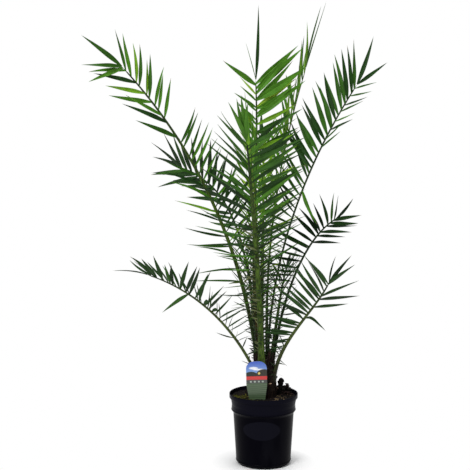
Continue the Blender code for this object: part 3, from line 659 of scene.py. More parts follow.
class Look(Nodes):
    """A material with one shader."""

    def __init__(self, name, colour, roughness, specular):
        super().__init__(bpy.data.materials.new(name))
        self.shader = self.tree.nodes["Principled BSDF"]
        self.set("Base Color", colour)
        self.set("Roughness", roughness)
        self.set("Specular IOR Level", specular)

    def set(self, name, value):
        """Give one of the shader's inputs a value or a result."""
        self.feed(self.shader.inputs[name], value)

    def finished(self, colour, height, strength, distance):
        """The material with its colour and fine relief."""
        relief = self.node("Bump", "Normal", Height=height, Strength=strength, Distance=distance)
        self.set("Base Color", colour)
        self.set("Normal", relief)
        return self.owner


def leaf_material(name, colour, roughness):
    """Leaf skin: soft patches, a midrib, and fine veins along the blade."""
    look = Look(name, colour, roughness, 0.08)
    patches = look.spread(look.noise(38.0, 4.0), 0.35, 0.68)
    base = look.mixed(patches, shaded(colour, 0.80), shaded(colour, 1.25))
    across = look.places("UVMap", "UV")["X"]
    off_centre = look.maths("ABSOLUTE", look.maths("SUBTRACT", across, 0.5))
    base = look.mixed(look.spread(off_centre, 0.045, 0.015), base, shaded(colour, 1.5))
    veins = look.maths("SINE", look.maths("MULTIPLY", across, 120.0))
    return look.finished(base, veins, 0.12, 0.0003)


def stalk_material(name, low, middle, high):
    """Stalk skin: three colours up its length, streaks along it and a waxy sheen."""
    look = Look(name, middle, 0.45, 0.14)
    up = look.places("UVMap", "UV")["Y"]
    streaks = look.noise(55.0, 5.0, (6.0, 6.0, 0.5))
    shades = []
    for share in (STREAK_DARK, STREAK_LIGHT):
        lower = look.mixed(look.spread(up, 0.04, 0.45), shaded(low, share), shaded(middle, share))
        shades.append(look.mixed(look.spread(up, 0.50, 0.95), lower, shaded(high, share)))
    base = look.mixed(look.spread(streaks, 0.36, 0.64), *shades)
    return look.finished(base, streaks, 0.25, 0.0006)


def streaked_material(name, dark, light):
    """Dry fibre or bark: dark and light streaks that run upwards."""
    look = Look(name, light, 0.9, 0.2)
    streaks = look.noise(110.0, 6.0, (5.0, 5.0, 0.7))
    base = look.mixed(look.spread(streaks, 0.36, 0.66), dark, light)
    return look.finished(base, streaks, 0.8, 0.0012)


def mottled_material(name, colour, roughness, grain, specular):
    """One colour with a soft mottle."""
    look = Look(name, colour, roughness, specular)
    mottle = look.noise(grain, 4.0)
    base = look.mixed(look.spread(mottle, 0.35, 0.68), shaded(colour, 0.72), shaded(colour, 1.28))
    return look.finished(base, mottle, 0.2, 0.0006)


def soil_material():
    """Moist peat: near black, with brown crumbs and a little green at its surface."""
    look = Look("potting_soil_look", (0.008, 0.006, 0.005), 0.90, 0.15)
    crumbs = look.noise(420.0, 6.0)
    green = look.spread(look.noise(60.0, 4.0), 0.56, 0.74)
    base = look.mixed(look.spread(crumbs, 0.42, 0.72), (0.003, 0.0022, 0.002), (0.014, 0.008, 0.006))
    base = look.mixed(green, base, (0.010, 0.011, 0.005))
    return look.finished(base, crumbs, 0.9, 0.0015)


def pot_material():
    """Black moulded plastic: a fine grain, dusty scuffs, a collar painted paler as painted light, and a
    faint rougher oval painted paler as a painted reflection.
    """
    colour = (0.0006, 0.0005, 0.0022)
    look = Look("pot_plastic_look", colour, 0.34, 0.024)
    place = look.places("TexCoord", "Object")
    dust = look.spread(look.noise(9.0, 5.0, (1.0, 1.0, 0.6)), 0.45, 0.80)
    scuffs = look.spread(look.noise(46.0, 8.0, (1.0, 1.0, 0.25)), 0.40, 0.75)
    dusty = look.maths("MULTIPLY", dust, scuffs)
    front = look.spread(place["Y"], 0.0, -0.010)
    # Painted reflection: a faint paler and rougher oval on the front of the pot
    disc = look.disc(place["X"], place["Z"], *OVAL_MIDDLE, *OVAL_SIZE, 0.06)
    oval = look.maths("MULTIPLY", disc, front)
    # Painted light: the collar band above the body is painted paler and bluish, where it catches more light
    collar = look.spread(place["Z"], COLLAR_FOOT_Z - 0.001, COLLAR_FOOT_Z + 0.006)
    base = look.mixed(dusty, colour, (0.006, 0.006, 0.009))
    base = look.mixed(look.maths("MULTIPLY", oval, 0.55), base, (0.008, 0.008, 0.014))
    base = look.mixed(look.maths("MULTIPLY", collar, 0.60), base, (0.006, 0.006, 0.012))
    rough = look.maths("MULTIPLY_ADD", oval, 0.12, 0.33)
    look.set("Roughness", look.maths("MULTIPLY_ADD", dusty, 0.30, rough))
    return look.finished(base, look.noise(900.0, 2.0), 0.10, 0.0002)


def label_material():
    """Printed label: blue sky with a cloud over low hills, a red band, and green with arcs."""
    look = Look("label_print", (0.2, 0.3, 0.5), 0.30, 0.5)
    across, up, _ = look.places("UVMap", "UV")

    def above(height):
        """1 above a height, 0 below."""
        return look.spread(up, height - 0.003, height + 0.003)

    upper = look.mixed(look.spread(up, 0.74, 0.98), (0.26, 0.44, 0.72), (0.050, 0.115, 0.52))
    for x, y, width, height, soft, colour in LABEL_SHAPES:
        upper = look.mixed(look.disc(across, up, x, y, width, height, soft), upper, colour)
    bend = look.maths("MULTIPLY", look.disc(across, up, 0.5, 0.2, 0.9, 0.9, 0.9), 9.0)
    wave = look.maths("SINE", look.maths("MULTIPLY_ADD", up, 190.0, bend))
    lower = look.mixed(look.spread(wave, 0.55, 1.0), (0.058, 0.098, 0.046), (0.125, 0.185, 0.100))
    lower = look.mixed(above(0.625), lower, (0.055, 0.060, 0.055))
    for x in LABEL_DOTS:
        lower = look.mixed(look.disc(across, up, x, 0.652, 0.050, 0.015, 0.1), lower, (0.36, 0.42, 0.36))
    print_colour = look.mixed(above(0.745), (0.60, 0.030, 0.028), upper)
    print_colour = look.mixed(above(0.685), lower, print_colour)
    look.set("Coat Weight", 0.3)
    look.set("Coat Roughness", 0.15)
    return look.finished(print_colour, look.noise(120.0, 2.0), 0.05, 0.0005)


def all_materials():
    """Every material but the stalks', by name."""
    made = {"soil": soil_material(), "pot": pot_material(), "label_print": label_material()}
    for name, values in MOTTLED.items():
        made[name] = mottled_material(name, *values)
    for name, (dark, light) in STREAKED.items():
        made[name] = streaked_material(name, dark, light)
    for tone, colour in LEAF_TONES.items():
        name = "leaf_" + tone
        under = [
            (1.0 - UNDERSIDE_SHARE) * channel + UNDERSIDE_SHARE * grey
            for channel, grey in zip(colour, UNDERSIDE_GREY)
        ]
        made[name] = leaf_material(name, colour, 0.40)
        made[name + "_under"] = leaf_material(name + "_under", tuple(under), 0.55)
    return made


MATERIALS = all_materials()


# Shapes that everything uses


def along_table(table, place):
    """Second value of a table of pairs, at a place between its first values."""
    for (low, first), (high, second) in zip(table, table[1:]):
        if low <= place <= high:
            return first + (second - first) * (place - low) / (high - low)
    return table[-1][1]


def turned(radius, angle, height=0.0):
    """Point at a radius and an angle round the plant's axis."""
    return Vector((math.cos(angle) * radius, math.sin(angle) * radius, height))


def growth(lean, bearing):
    """Unit direction from a lean and a bearing in degrees."""
    lean = math.radians(lean)
    return turned(math.sin(lean), math.radians(bearing), math.cos(lean))


def curled_path(start, ahead, axis, curl, length, steps):
    """Points of a strand that curls about an axis."""
    path = [start]
    for step in range(steps):
        path.append(path[-1] + (Matrix.Rotation(curl * step / steps, 3, axis) @ ahead) * length / steps)
    return path


def ring_faces(rings, sides, flip=False, closed_foot=True, pointed=True):
    """Faces between rings of points, whose last runs to a point or has a cap like the first."""
    faces = []
    for low in range(0, (rings - 1) * sides, sides):
        for side in range(sides):
            after = (side + 1) % sides
            faces.append((low + side, low + after, low + sides + after, low + sides + side))
    last = (rings - 1) * sides
    if pointed:
        faces += [(last + side, last + (side + 1) % sides, last + sides) for side in range(sides)]
    else:
        faces.append(tuple(range(last, last + sides)))
    if closed_foot:
        faces.append(tuple(reversed(range(sides))))
    return [face[::-1] for face in faces] if flip else faces


class Gathered:
    """Points and faces of many small things, on their way into one mesh."""

    def __init__(self):
        self.points = []
        self.faces = []
        self.finishes = []
        self.places = []

    def add(self, points, faces, finishes, places=None):
        """Add one thing. finishes is a material number, or one for each face."""
        first = len(self.points)
        self.points.extend(points)
        self.places.extend(places or [(0.25, 0.0)] * len(points))
        self.faces.extend(tuple(first + corner for corner in face) for face in faces)
        self.finishes.extend([finishes] * len(faces) if isinstance(finishes, int) else finishes)

    def made(self, name, looks, slot, nodes=(), crease=40.0):
        """The piece, riding on the plant's one body."""
        mesh = bpy.data.meshes.new(name)
        mesh.from_pydata([tuple(point) for point in self.points], [], self.faces)
        mesh.polygons.foreach_set("material_index", self.finishes)
        mesh.polygons.foreach_set("use_smooth", [True] * len(self.faces))
        layer = mesh.uv_layers.new(name="surface")
        corners = [0] * len(mesh.loops)
        mesh.loops.foreach_get("vertex_index", corners)
        layer.data.foreach_set("uv", [value for corner in corners for value in self.places[corner]])
        mesh.set_sharp_from_angle(angle=math.radians(crease))
        mesh.update()
        for look in looks:
            mesh.materials.append(MATERIALS[look])
        piece = bpy.data.objects.new(name, mesh)
        bpy.context.scene.collection.objects.link(piece)
        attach(piece, "root")
        if nodes:
            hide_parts(*nodes)


def blade_width(share):
    """Width of a leaflet along its length, as a share of its widest."""
    if share < BLADE_WIDEST:
        rise = math.sin(math.pi / 2.0 * share / BLADE_WIDEST)
        return BLADE_ROOT_WIDTH + (1.0 - BLADE_ROOT_WIDTH) * rise
    return 1.0 - ((share - BLADE_WIDEST) / (1.0 - BLADE_WIDEST)) ** BLADE_TAPER


def add_blade(
    gathered, root, direction, across, normal, length, width, tone, bend=0.0, sway=0.0,
    twist=0.0, kink=0.0, cut=1.0, dry=None, fold=BLADE_FOLD, thickness=BLADE_THICKNESS,
):
    """One leaflet: a folded lance that bows, its chord along direction.

    bend turns it away from its upper side and sway sideways, both in degrees over its whole
    length. kink is a sharper bend at its middle. Its upper side takes the finish tone, its
    underside the next one, and its tip the finish dry.
    """
    points = []
    places = []
    arc = math.radians(abs(bend) + abs(sway)) / 2.0
    stretch = arc / math.sin(arc) if arc > 0.01 else 1.0
    step = length * stretch / BLADE_STEPS
    centre = root.copy()
    for index in range(BLADE_STEPS):
        share = index / BLADE_STEPS * cut
        lean = math.radians(bend) * (share - 0.5)
        lean += math.radians(kink) * max(0.0, min(1.0, (share - KINK_FROM) / KINK_LENGTH))
        sideways = Matrix.Rotation(math.radians(sway) * (share - 0.5), 3, normal)
        turn = Matrix.Rotation(-lean, 3, across) @ sideways
        ahead = turn @ direction
        roll = Matrix.Rotation(math.radians(twist) * share, 3, ahead)
        wide = roll @ (turn @ across)
        lift = roll @ (turn @ normal)
        half = width / 2.0 * blade_width(share)
        edge = half * fold * (BLADE_LIFT_AT_ROOT - BLADE_LIFT_LOSS * share)
        for place, rise in BLADE_COLUMNS:
            points.append(centre + wide * half * place + lift * edge * rise)
            places.append((0.5 + 0.5 * place, share))
        points.append(centre - lift * thickness)
        places.append((0.5, share))
        centre = centre + ahead * step * cut
    points.append(centre)
    places.append((0.5, 1.0))
    sides = len(BLADE_COLUMNS) + 1
    flip = across.cross(normal).dot(direction) < 0.0
    faces = ring_faces(BLADE_STEPS, sides, not flip)
    finishes = []
    for index in range(len(faces)):
        ring, side = divmod(index, sides)
        at_tip = DRY_TIP_FROM <= (ring + 1) / BLADE_STEPS and ring < BLADE_STEPS
        upper = tone if side < sides - 2 else tone + 1
        finishes.append(dry if at_tip and dry is not None else upper)
    gathered.add(points, faces, finishes, places)


def add_scale(gathered, root, lean, bearing, facing, length, width, finish, **shape):
    """Stiff scale of sheath or bark that stands at a lean and faces a bearing."""
    direction = growth(lean, bearing)
    normal = growth(90.0, facing)
    normal = (normal - direction * normal.dot(direction)).normalized()
    across = normal.cross(direction)
    add_blade(gathered, root, direction, across, normal, length, width, finish, **shape)


def add_strand(gathered, path, radius, finish, tip_share=0.25, sides=3):
    """Thin tapering strand through a path of points."""
    points = []
    count = len(path)
    for index, centre in enumerate(path[:-1]):
        ahead = (path[index + 1] - path[max(0, index - 1)]).normalized()
        helper = Vector((0.0, 0.0, 1.0)) if abs(ahead.z) < 0.8 else Vector((1.0, 0.0, 0.0))
        first = ahead.cross(helper).normalized()
        second = ahead.cross(first)
        size = radius * (1.0 - (1.0 - tip_share) * index / (count - 1))
        for side in range(sides):
            angle = math.tau * side / sides
            points.append(centre + (first * math.cos(angle) + second * math.sin(angle)) * size)
    points.append(path[-1])
    gathered.add(points, ring_faces(count - 1, sides, True), finish)


def coarse_ball():
    """Corners and faces of a ball with twenty faces."""
    ball = bmesh.new()
    bmesh.ops.create_icosphere(ball, subdivisions=1, radius=1.0)
    ball.verts.index_update()
    corners = [corner.co.copy() for corner in ball.verts]
    faces = [tuple(corner.index for corner in face.verts) for face in ball.faces]
    ball.free()
    return corners, faces


BALL_CORNERS, BALL_FACES = coarse_ball()


def add_lump(gathered, centre, sizes, chance, finish):
    """Rough little lump, turned at random."""
    turn = Matrix.Rotation(chance.uniform(0.0, math.tau), 3, "Z")
    turn = turn @ Matrix.Rotation(chance.uniform(-0.6, 0.6), 3, "X")
    points = []
    for corner in BALL_CORNERS:
        scale = chance.uniform(0.72, 1.15)
        local = Vector([axis * size * scale for axis, size in zip(corner, sizes)])
        points.append(centre + turn @ local)
    gathered.add(points, BALL_FACES, finish)


# Fronds


def rachis_point(plan, share):
    """Point on the rachis and its direction there."""
    foot = plan["foot"]
    tip = plan["tip"]
    handle = (tip - foot).length * HANDLE_SHARE
    low = foot + growth(*plan["foot_growth"]) * handle
    high = tip - growth(*plan["tip_growth"]) * handle
    rest = 1.0 - share
    point = foot * rest ** 3 + low * 3 * share * rest ** 2 + high * 3 * share ** 2 * rest + tip * share ** 3
    slope = (low - foot) * rest ** 2 + (high - low) * 2 * share * rest + (tip - high) * share ** 2
    return point, slope.normalized()


def rachis_radius(plan, share):
    """Radius of the stalk, which thins towards its tip."""
    return RACHIS_TIP_RADIUS + (plan["girth"] - RACHIS_TIP_RADIUS) * (1.0 - share) ** RACHIS_TAPER


def blade_share(plan, share):
    """How far along the blade a place on the rachis is."""
    return max(0.0, (share - plan["bare"]) / (1.0 - plan["bare"]))


def blade_frame(plan, share, roll_share=1.0):
    """Direction of the rachis at a place, and the blade's side and face directions there."""
    _, along = rachis_point(plan, share)
    outward = plan["tip"] - plan["foot"]
    outward.z = 0.0
    outward.normalize()
    lean = math.acos(max(-1.0, min(1.0, along.z)))
    face = Vector((0.0, 0.0, math.sin(lean))) - outward * math.cos(lean)
    face -= along * face.dot(along)
    face.normalize()
    side = along.cross(face)
    first, last = plan["roll"]
    roll = (first + (last - first) * blade_share(plan, share) ** 2) * roll_share
    turn = Matrix.Rotation(math.radians(roll), 3, along)
    return along, turn @ side, turn @ face


def length_envelope(share, grown):
    """Leaflet length along the blade as a share of the longest: the lowest are short."""
    long = FOOT_LENGTH_SHARE + (1.0 - FOOT_LENGTH_SHARE) * min(1.0, share / grown)
    return long * (LENGTH_AT_ENDS + (1.0 - LENGTH_AT_ENDS) * math.sin(math.pi * share))


def width_envelope(share, grown, broadening):
    """Leaflet width as a share of the broadest: the lowest leaflets are thin."""
    broad = min(1.0, share / max(grown, LEAFLET_BROAD_FROM)) ** broadening
    return FOOT_WIDTH_SHARE + (1.0 - FOOT_WIDTH_SHARE) * broad


def between(values, share):
    """Value at a share of the way along values that stand at even steps."""
    place = share * (len(values) - 1)
    index = min(int(place), len(values) - 2)
    return values[index] + (values[index + 1] - values[index]) * (place - index)


def leaflet_places(plan, chance, looks):
    """Where each leaflet sits and how it points, from the foot to the tip."""
    for hand, row_plan, more in zip((1, -1), plan["rows"], looks["finer"]):
        count = round(plan["pairs"] * more)
        stagger = PAIR_STAGGER if hand > 0 else 0.0
        for index in range(count):
            place = min(1.0, (index + stagger) / (count - 1 + PAIR_STAGGER))
            share = between((plan["bare"], LAST_PAIR_SHARE), place)
            angle = between(row_plan["angles"], place) + chance.uniform(-ANGLE_JITTER, ANGLE_JITTER)
            length = between(row_plan["lengths"], place) * length_envelope(place, plan["grown"])
            length *= 1.0 + chance.uniform(-LENGTH_JITTER, LENGTH_JITTER)
            rise = row_plan["rise"] + chance.uniform(-RISE_JITTER, RISE_JITTER)
            lost = any(low <= share <= high for low, high in row_plan["gaps"])
            if lost or share < row_plan["start"]:
                continue
            share = min(LAST_PAIR_SHARE, share + chance.uniform(-PLACE_JITTER, PLACE_JITTER) / count)
            width = looks["width"] * width_envelope(place, plan["grown"], looks["broadening"])
            yield share, hand, angle, rise, length, width
    length, turn, lift, width = plan["terminal"]
    yield 1.0, 0, turn, lift, length, width
    yield from plan["singles"]


def leaflet_axes(plan, share, hand, angle, rise):
    """Root, direction, width direction and upper side of one leaflet."""
    angle = math.radians(angle)
    rise = math.radians(rise)
    root, _ = rachis_point(plan, share)
    along, side, face = blade_frame(plan, share)
    if hand:
        leaning = side * hand * math.cos(rise) + face * math.sin(rise)
        direction = along * math.cos(angle) + leaning * math.sin(angle)
        across = along - direction * along.dot(direction)
    else:
        level = along * math.cos(angle) + side * math.sin(angle)
        direction = level * math.cos(rise) + face * math.sin(rise)
        across = side - direction * side.dot(direction)
    across.normalize()
    normal = across.cross(direction)
    return root, direction, across, -normal if normal.dot(face) < 0.0 else normal


def build_leaflets(name, plan):
    """All of one frond's leaflets, as one piece."""
    chance = random.Random(SEED + list(FRONDS).index(name))
    looks = LOOKS[name]
    tones = [tone for tone in LEAF_TONES if tone in looks["low"] or tone in looks["high"]]
    skins = []
    for tone in tones:
        skins += ["leaf_" + tone, "leaf_" + tone + "_under"]
    gathered = Gathered()
    for share, hand, angle, rise, length, width in leaflet_places(plan, chance, looks):
        axes = leaflet_axes(plan, share, hand, angle, rise)
        tone = list(looks["high"])[-1]
        if hand:
            weights = looks["high" if chance.random() < blade_share(plan, share) else "low"]
            tone = chance.choices(list(weights), list(weights.values()))[0]
        dry = len(skins) if chance.random() < DRY_TIP_CHANCE else None
        add_blade(
            gathered, *axes, length, length * width, 2 * tones.index(tone),
            bend=chance.gauss(2.0, BLADE_BOW), sway=chance.gauss(0.0, BLADE_SWAY),
            twist=chance.gauss(0.0, BLADE_TWIST), dry=dry,
        )
    for place, length, width, damage in looks["extras"]:
        deep = 2 * tones.index("deep")
        add_blade(gathered, *leaflet_axes(plan, *place), length, length * width, deep, **damage)
    gathered.made(name + "_leaflets", skins + ["leaf_tip_dry"], looks["slot"], (name,))


def build_stalk(name, plan):
    """One frond's stalk and rachis: flat above, round below, spreading into its sheath."""
    looks = LOOKS[name]
    gathered = Gathered()
    points = []
    places = []
    for ring in range(STALK_RINGS):
        share = (ring / STALK_RINGS) ** STALK_RING_CROWDING
        centre, _ = rachis_point(plan, share)
        _, side, face = blade_frame(plan, share, min(1.0, share / plan["bare"]))
        radius = rachis_radius(plan, share)
        flare = SHEATH_SPREAD * math.exp(-share / SHEATH_LENGTH)
        groove = STALK_GROOVE * math.exp(-share / STALK_GROOVE_LENGTH)
        for step in range(STALK_SIDES):
            angle = math.tau * step / STALK_SIDES
            wide = math.cos(angle) * radius * (STALK_BREADTH + flare)
            tall = math.sin(angle) * radius * (1.0 - SHEATH_THINNING * flare)
            if tall > 0.0:
                tall = tall * STALK_TOP_FLATNESS - groove * radius * (1.0 - abs(math.cos(angle)))
            points.append(centre + side * wide + face * tall)
            places.append((step / STALK_SIDES, share))
    points.append(rachis_point(plan, 1.0)[0])
    places.append((0.5, 1.0))
    gathered.add(points, ring_faces(STALK_RINGS, STALK_SIDES), 0, places)
    skin = name + "_skin"
    MATERIALS[skin] = stalk_material(skin, *(STALK_TONES[tone] for tone in looks["stalk"]))
    gathered.made(name + "_stalk", [skin], looks["slot"], (name,), 60.0)


def add_spines(gathered, name, plan):
    """Stiff spines along a stalk's edges, longer upwards: some cross its back, a few are curled."""
    chance = random.Random(SEED * 7 + list(FRONDS).index(name))
    bare = plan["bare"]
    count, hands, shortest, longest, finishes = LOOKS[name]["spines"]
    highest = bare + LOOKS[name]["past"] * (1.0 - bare)
    for index in range(count):
        for hand in hands:
            place = (1.0 - SPINES_FROM) * (index + chance.random() * SPINE_STAGGER) / count
            share = highest * (SPINES_FROM + place)
            start, along = rachis_point(plan, share)
            _, side, face = blade_frame(plan, share, min(1.0, share / bare))
            angle = math.radians(chance.uniform(*SPINE_ANGLES))
            crossing = chance.random() < CROSSING_CHANCE
            rise = math.radians(chance.uniform(*(CROSSING_RISES if crossing else SPINE_RISES)))
            leaning = side * hand * math.cos(rise) + face * math.sin(rise)
            ahead = along * math.cos(angle) + leaning * math.sin(angle)
            length = (shortest + (longest - shortest) * share / highest) * chance.uniform(*SPINE_SPREAD)
            curled = chance.random() < CURLED_CHANCE
            curl = chance.uniform(*(CURLED_BENDS if curled else SPINE_BENDS))
            aside = Vector((chance.uniform(-1, 1), chance.uniform(-1, 1), 1.0))
            axis = ahead.cross(aside).normalized()
            start += side * hand * rachis_radius(plan, share) * 0.7
            if crossing:
                start -= face * rachis_radius(plan, share) * 0.8
            if curled:
                path = curled_path(start, ahead, axis, math.radians(curl), length, 8)
                add_strand(gathered, path, chance.uniform(*CURLED_RADII), CURLED_FINISH, 0.1, 4)
                continue
            across = (along - ahead * along.dot(ahead)).normalized()
            add_blade(
                gathered, start, ahead, across, across.cross(ahead), length,
                chance.uniform(*SPINE_WIDTHS) + SPINE_BREADTH * length, chance.choice(finishes),
                bend=curl, sway=chance.gauss(0.0, BLADE_SWAY), twist=chance.gauss(0.0, SPINE_TWIST),
            )


def build_fronds():
    """Every frond's leaflets and stalk, and the spines of all of them."""
    spines = Gathered()
    for name, plan in FRONDS.items():
        build_leaflets(name, plan)
        build_stalk(name, plan)
        add_spines(spines, name, plan)
    finishes = ("spine_green", "spine_dry", "spine_dark", "spine_dark_under", "spine_brown")
    spines.made("stalk_spines", finishes, "mid_leaf")


# Stem


def bark_relief(angle, height):
    """Old leaf bases in spiral rows, with fibre between them."""
    turn = angle / math.tau
    rows = height * LEAF_BASE_ROWS
    first, second = [(turn * spiral + rows) % 1.0 for spiral in LEAF_BASE_SPIRALS]
    base = min(first, 1.0 - first) * min(second, 1.0 - second) * 4.0
    fibre = noise.noise(turned(40.0, angle, height * 25.0))
    swell = noise.noise(turned(9.0, angle, height * 60.0))
    return LEAF_BASE_RELIEF * base + FIBRE_RELIEF * fibre + SWELL_RELIEF * swell - BARK_SUNK


def build_stem():
    """Stem with its bark relief."""
    gathered = Gathered()
    top = STEM_RINGS[-1][0]
    points = []
    for ring in range(STEM_ROWS):
        height = top * ring / STEM_ROWS
        for step in range(STEM_SIDES):
            angle = math.tau * step / STEM_SIDES
            radius = along_table(STEM_RINGS, height)
            radius += bark_relief(angle, height) * min(1.0, radius / 0.015)
            points.append(turned(radius, angle, SOIL_TOP_Z - 0.0005 + height))
    points.append(Vector((0.0, 0.0, SOIL_TOP_Z + top)))
    gathered.add(points, ring_faces(STEM_ROWS, STEM_SIDES), 0)
    gathered.made("stem_bark", ["bark"], "stem_fibre", ("stem",), 70.0)


def add_cut_end(gathered, centre, direction, side, length):
    """Short stump of an old stalk with a pale cut face."""
    normal = side.cross(direction)
    wide, thick = CUT_END_SIZE
    points = []
    for share, size in ((0.0, 1.0), (0.5, 0.82), (0.94, 0.62), (1.0, 0.50)):
        for step in range(CUT_END_SIDES):
            angle = math.tau * step / CUT_END_SIDES
            rim = side * math.cos(angle) * wide * size + normal * math.sin(angle) * thick * size
            points.append(centre + direction * length * share + rim)
    points.append(centre + direction * length * 1.005)
    faces = ring_faces(4, CUT_END_SIDES, True)
    finishes = [0] * 3 * CUT_END_SIDES + [4] * CUT_END_SIDES + [0]
    gathered.add(points, faces, finishes)


def build_sheaths():
    """Dry brown sheaths that clasp the stalks, and cut ends of old leaf bases."""
    chance = random.Random(SEED + 40)
    gathered = Gathered()
    for foot, lean, bearing, length, width, finish in SHEATHS:
        add_scale(
            gathered, Vector(foot), lean, bearing, bearing + 180.0, length, width, finish,
            bend=chance.uniform(-16.0, 4.0), twist=chance.uniform(-8.0, 8.0), fold=0.80,
            thickness=0.0012,
        )
    for index in range(OLD_SHEATHS):
        bearing = OLD_SHEATH_FIRST + index * OLD_SHEATH_TURN + chance.uniform(-5.0, 5.0)
        height = chance.uniform(0.012, 0.062)
        radius = along_table(STEM_RINGS, height) - 0.001
        add_scale(
            gathered, turned(radius, math.radians(bearing), SOIL_TOP_Z + height),
            chance.uniform(3.0, 13.0), bearing, bearing + 180.0, chance.uniform(0.034, 0.062),
            chance.uniform(0.012, 0.019), chance.choice((0, 2, 2)), bend=chance.uniform(-16.0, 8.0),
            twist=chance.uniform(-10.0, 10.0), fold=0.75, thickness=0.0012,
        )
    for index in range(CUT_ENDS):
        bearing = index * CUT_END_TURN + CUT_END_FIRST
        height = 0.008 + 0.006 * index + chance.uniform(-0.002, 0.002)
        direction = growth(chance.uniform(32.0, 50.0), bearing)
        radius = along_table(STEM_RINGS, height) - 0.004
        centre = turned(radius, math.radians(bearing), SOIL_TOP_Z + height)
        side = growth(90.0, bearing + 90.0)
        add_cut_end(gathered, centre, direction, side, chance.uniform(0.011, 0.018))
    finishes = ("sheath", "sheath", "sheath_dark", "sheath_dark", "cut_end")
    gathered.made("stem_sheaths", finishes, "stem_fibre")


def build_fibres():
    """Loose fibre that winds round the stem and the feet of the stalks."""
    chance = random.Random(SEED + 50)
    gathered = Gathered()
    for _ in range(WOUND_FIBRES):
        height = chance.uniform(0.0, 0.088)
        angle = chance.uniform(0.0, math.tau)
        drift = chance.uniform(-9.0, 9.0)
        length = chance.uniform(0.020, 0.050)
        lift = chance.uniform(0.0, 0.0035)
        path = []
        for step in range(9):
            share = step / 8
            here = height + length * share * 0.9
            radius = max(along_table(STEM_RINGS, min(here, 0.085)), 0.010) + 0.0006 + lift * share * share
            turn = angle + drift * length * share + 0.05 * math.sin(share * 5.0 + drift)
            path.append(turned(radius, turn, SOIL_TOP_Z + here))
        add_strand(gathered, path, chance.uniform(0.00025, 0.0005), chance.choice((0, 0, 0, 1)))
    for _ in range(LOOSE_FIBRES):
        angle = chance.uniform(0.0, math.tau)
        height = chance.uniform(0.055, 0.105)
        start = turned(max(along_table(STEM_RINGS, height), 0.008), angle, SOIL_TOP_Z + height)
        ahead = growth(chance.uniform(15.0, 75.0), math.degrees(angle) + chance.uniform(-50.0, 50.0))
        axis = Vector([chance.uniform(-1, 1) for _ in range(3)]).normalized()
        curl = math.radians(chance.uniform(30.0, 150.0))
        path = curled_path(start, ahead, axis, curl, chance.uniform(0.018, 0.042), 10)
        add_strand(gathered, path, chance.uniform(0.0002, 0.0004), chance.choice((0, 1, 1, 2)))
    gathered.made("stem_fibres", ("fibre_dark", "fibre", "fibre_pale"), "stem_fibre")


# Pot, soil and label


def inner_radius(height):
    """Radius of the pot's inside at a height."""
    wall = (
        (BODY_FOOT_Z, BODY_FOOT_RADIUS),
        (BODY_TOP_Z, BODY_TOP_RADIUS),
        (COLLAR_FOOT_Z + POT_WALL, COLLAR_FOOT_RADIUS),
        (POT_HEIGHT - LIP_DEPTH, COLLAR_TOP_RADIUS),
    )
    return along_table(wall, height) - POT_WALL


def pot_profile():
    """Pot outline from its inside floor up over the lip and down the outside."""
    lip_foot = POT_HEIGHT - LIP_DEPTH
    inside = [
        (0.0, POT_FLOOR),
        (FOOT_RADIUS - POT_WALL, POT_FLOOR),
        (BODY_FOOT_RADIUS - POT_WALL, BODY_FOOT_Z),
        (BODY_TOP_RADIUS - POT_WALL, BODY_TOP_Z + POT_WALL * 0.5),
        (COLLAR_FOOT_RADIUS - POT_WALL, COLLAR_FOOT_Z + POT_WALL),
        (COLLAR_TOP_RADIUS - POT_WALL, lip_foot),
        (LIP_RADIUS - 0.0024, POT_HEIGHT - 0.0006),
    ]
    crest = []
    for step in range(7):
        point = turned(LIP_BEND, math.pi - math.pi * step / 6)
        crest.append((LIP_RADIUS - LIP_BEND + point.x, POT_HEIGHT - LIP_BEND + point.y))
    collar = [
        (LIP_RADIUS, lip_foot + 0.0009),
        (LIP_RADIUS - 0.0003, lip_foot + 0.0003),
        (LIP_RADIUS - 0.0009, lip_foot),
        (COLLAR_TOP_RADIUS + 0.0002, lip_foot - 0.0003),
        (COLLAR_TOP_RADIUS, lip_foot - 0.0010),
        (COLLAR_TOP_RADIUS - 0.0032, (lip_foot + COLLAR_FOOT_Z) / 2.0),
        (COLLAR_FOOT_RADIUS, COLLAR_FOOT_Z + 0.0026),
        (COLLAR_FOOT_RADIUS + 0.0006, COLLAR_FOOT_Z + 0.0019),
        (COLLAR_FOOT_RADIUS + 0.0006, COLLAR_FOOT_Z + 0.0008),
        (COLLAR_FOOT_RADIUS - 0.0002, COLLAR_FOOT_Z),
        (BODY_TOP_RADIUS + 0.0004, BODY_TOP_Z + 0.0006),
    ]
    body = [
        (BODY_TOP_RADIUS, BODY_TOP_Z - 0.0006),
        (BODY_FOOT_RADIUS, BODY_FOOT_Z),
        (FOOT_BEAD_RADIUS - 0.0002, BODY_FOOT_Z - 0.0006),
        (FOOT_BEAD_RADIUS, BODY_FOOT_Z - 0.0012),
        (FOOT_BEAD_RADIUS, FOOT_BEAD_Z),
        (FOOT_BEAD_RADIUS - 0.0006, FOOT_BEAD_Z - 0.0014),
        (FOOT_BEAD_RADIUS - 0.0015, FOOT_BEAD_Z - 0.0025),
        (FOOT_RADIUS + 0.0010, 0.0010),
        (FOOT_RADIUS + 0.0003, 0.0003),
        (FOOT_RADIUS, 0.0),
        (0.0, 0.0),
    ]
    down = []
    for step in range(1, 12):
        share = step / 12
        down.append((
            BODY_TOP_RADIUS + (BODY_FOOT_RADIUS - BODY_TOP_RADIUS) * share,
            BODY_TOP_Z + (BODY_FOOT_Z - BODY_TOP_Z) * share,
        ))
    return inside + crest + collar + body[:1] + down + body[1:]


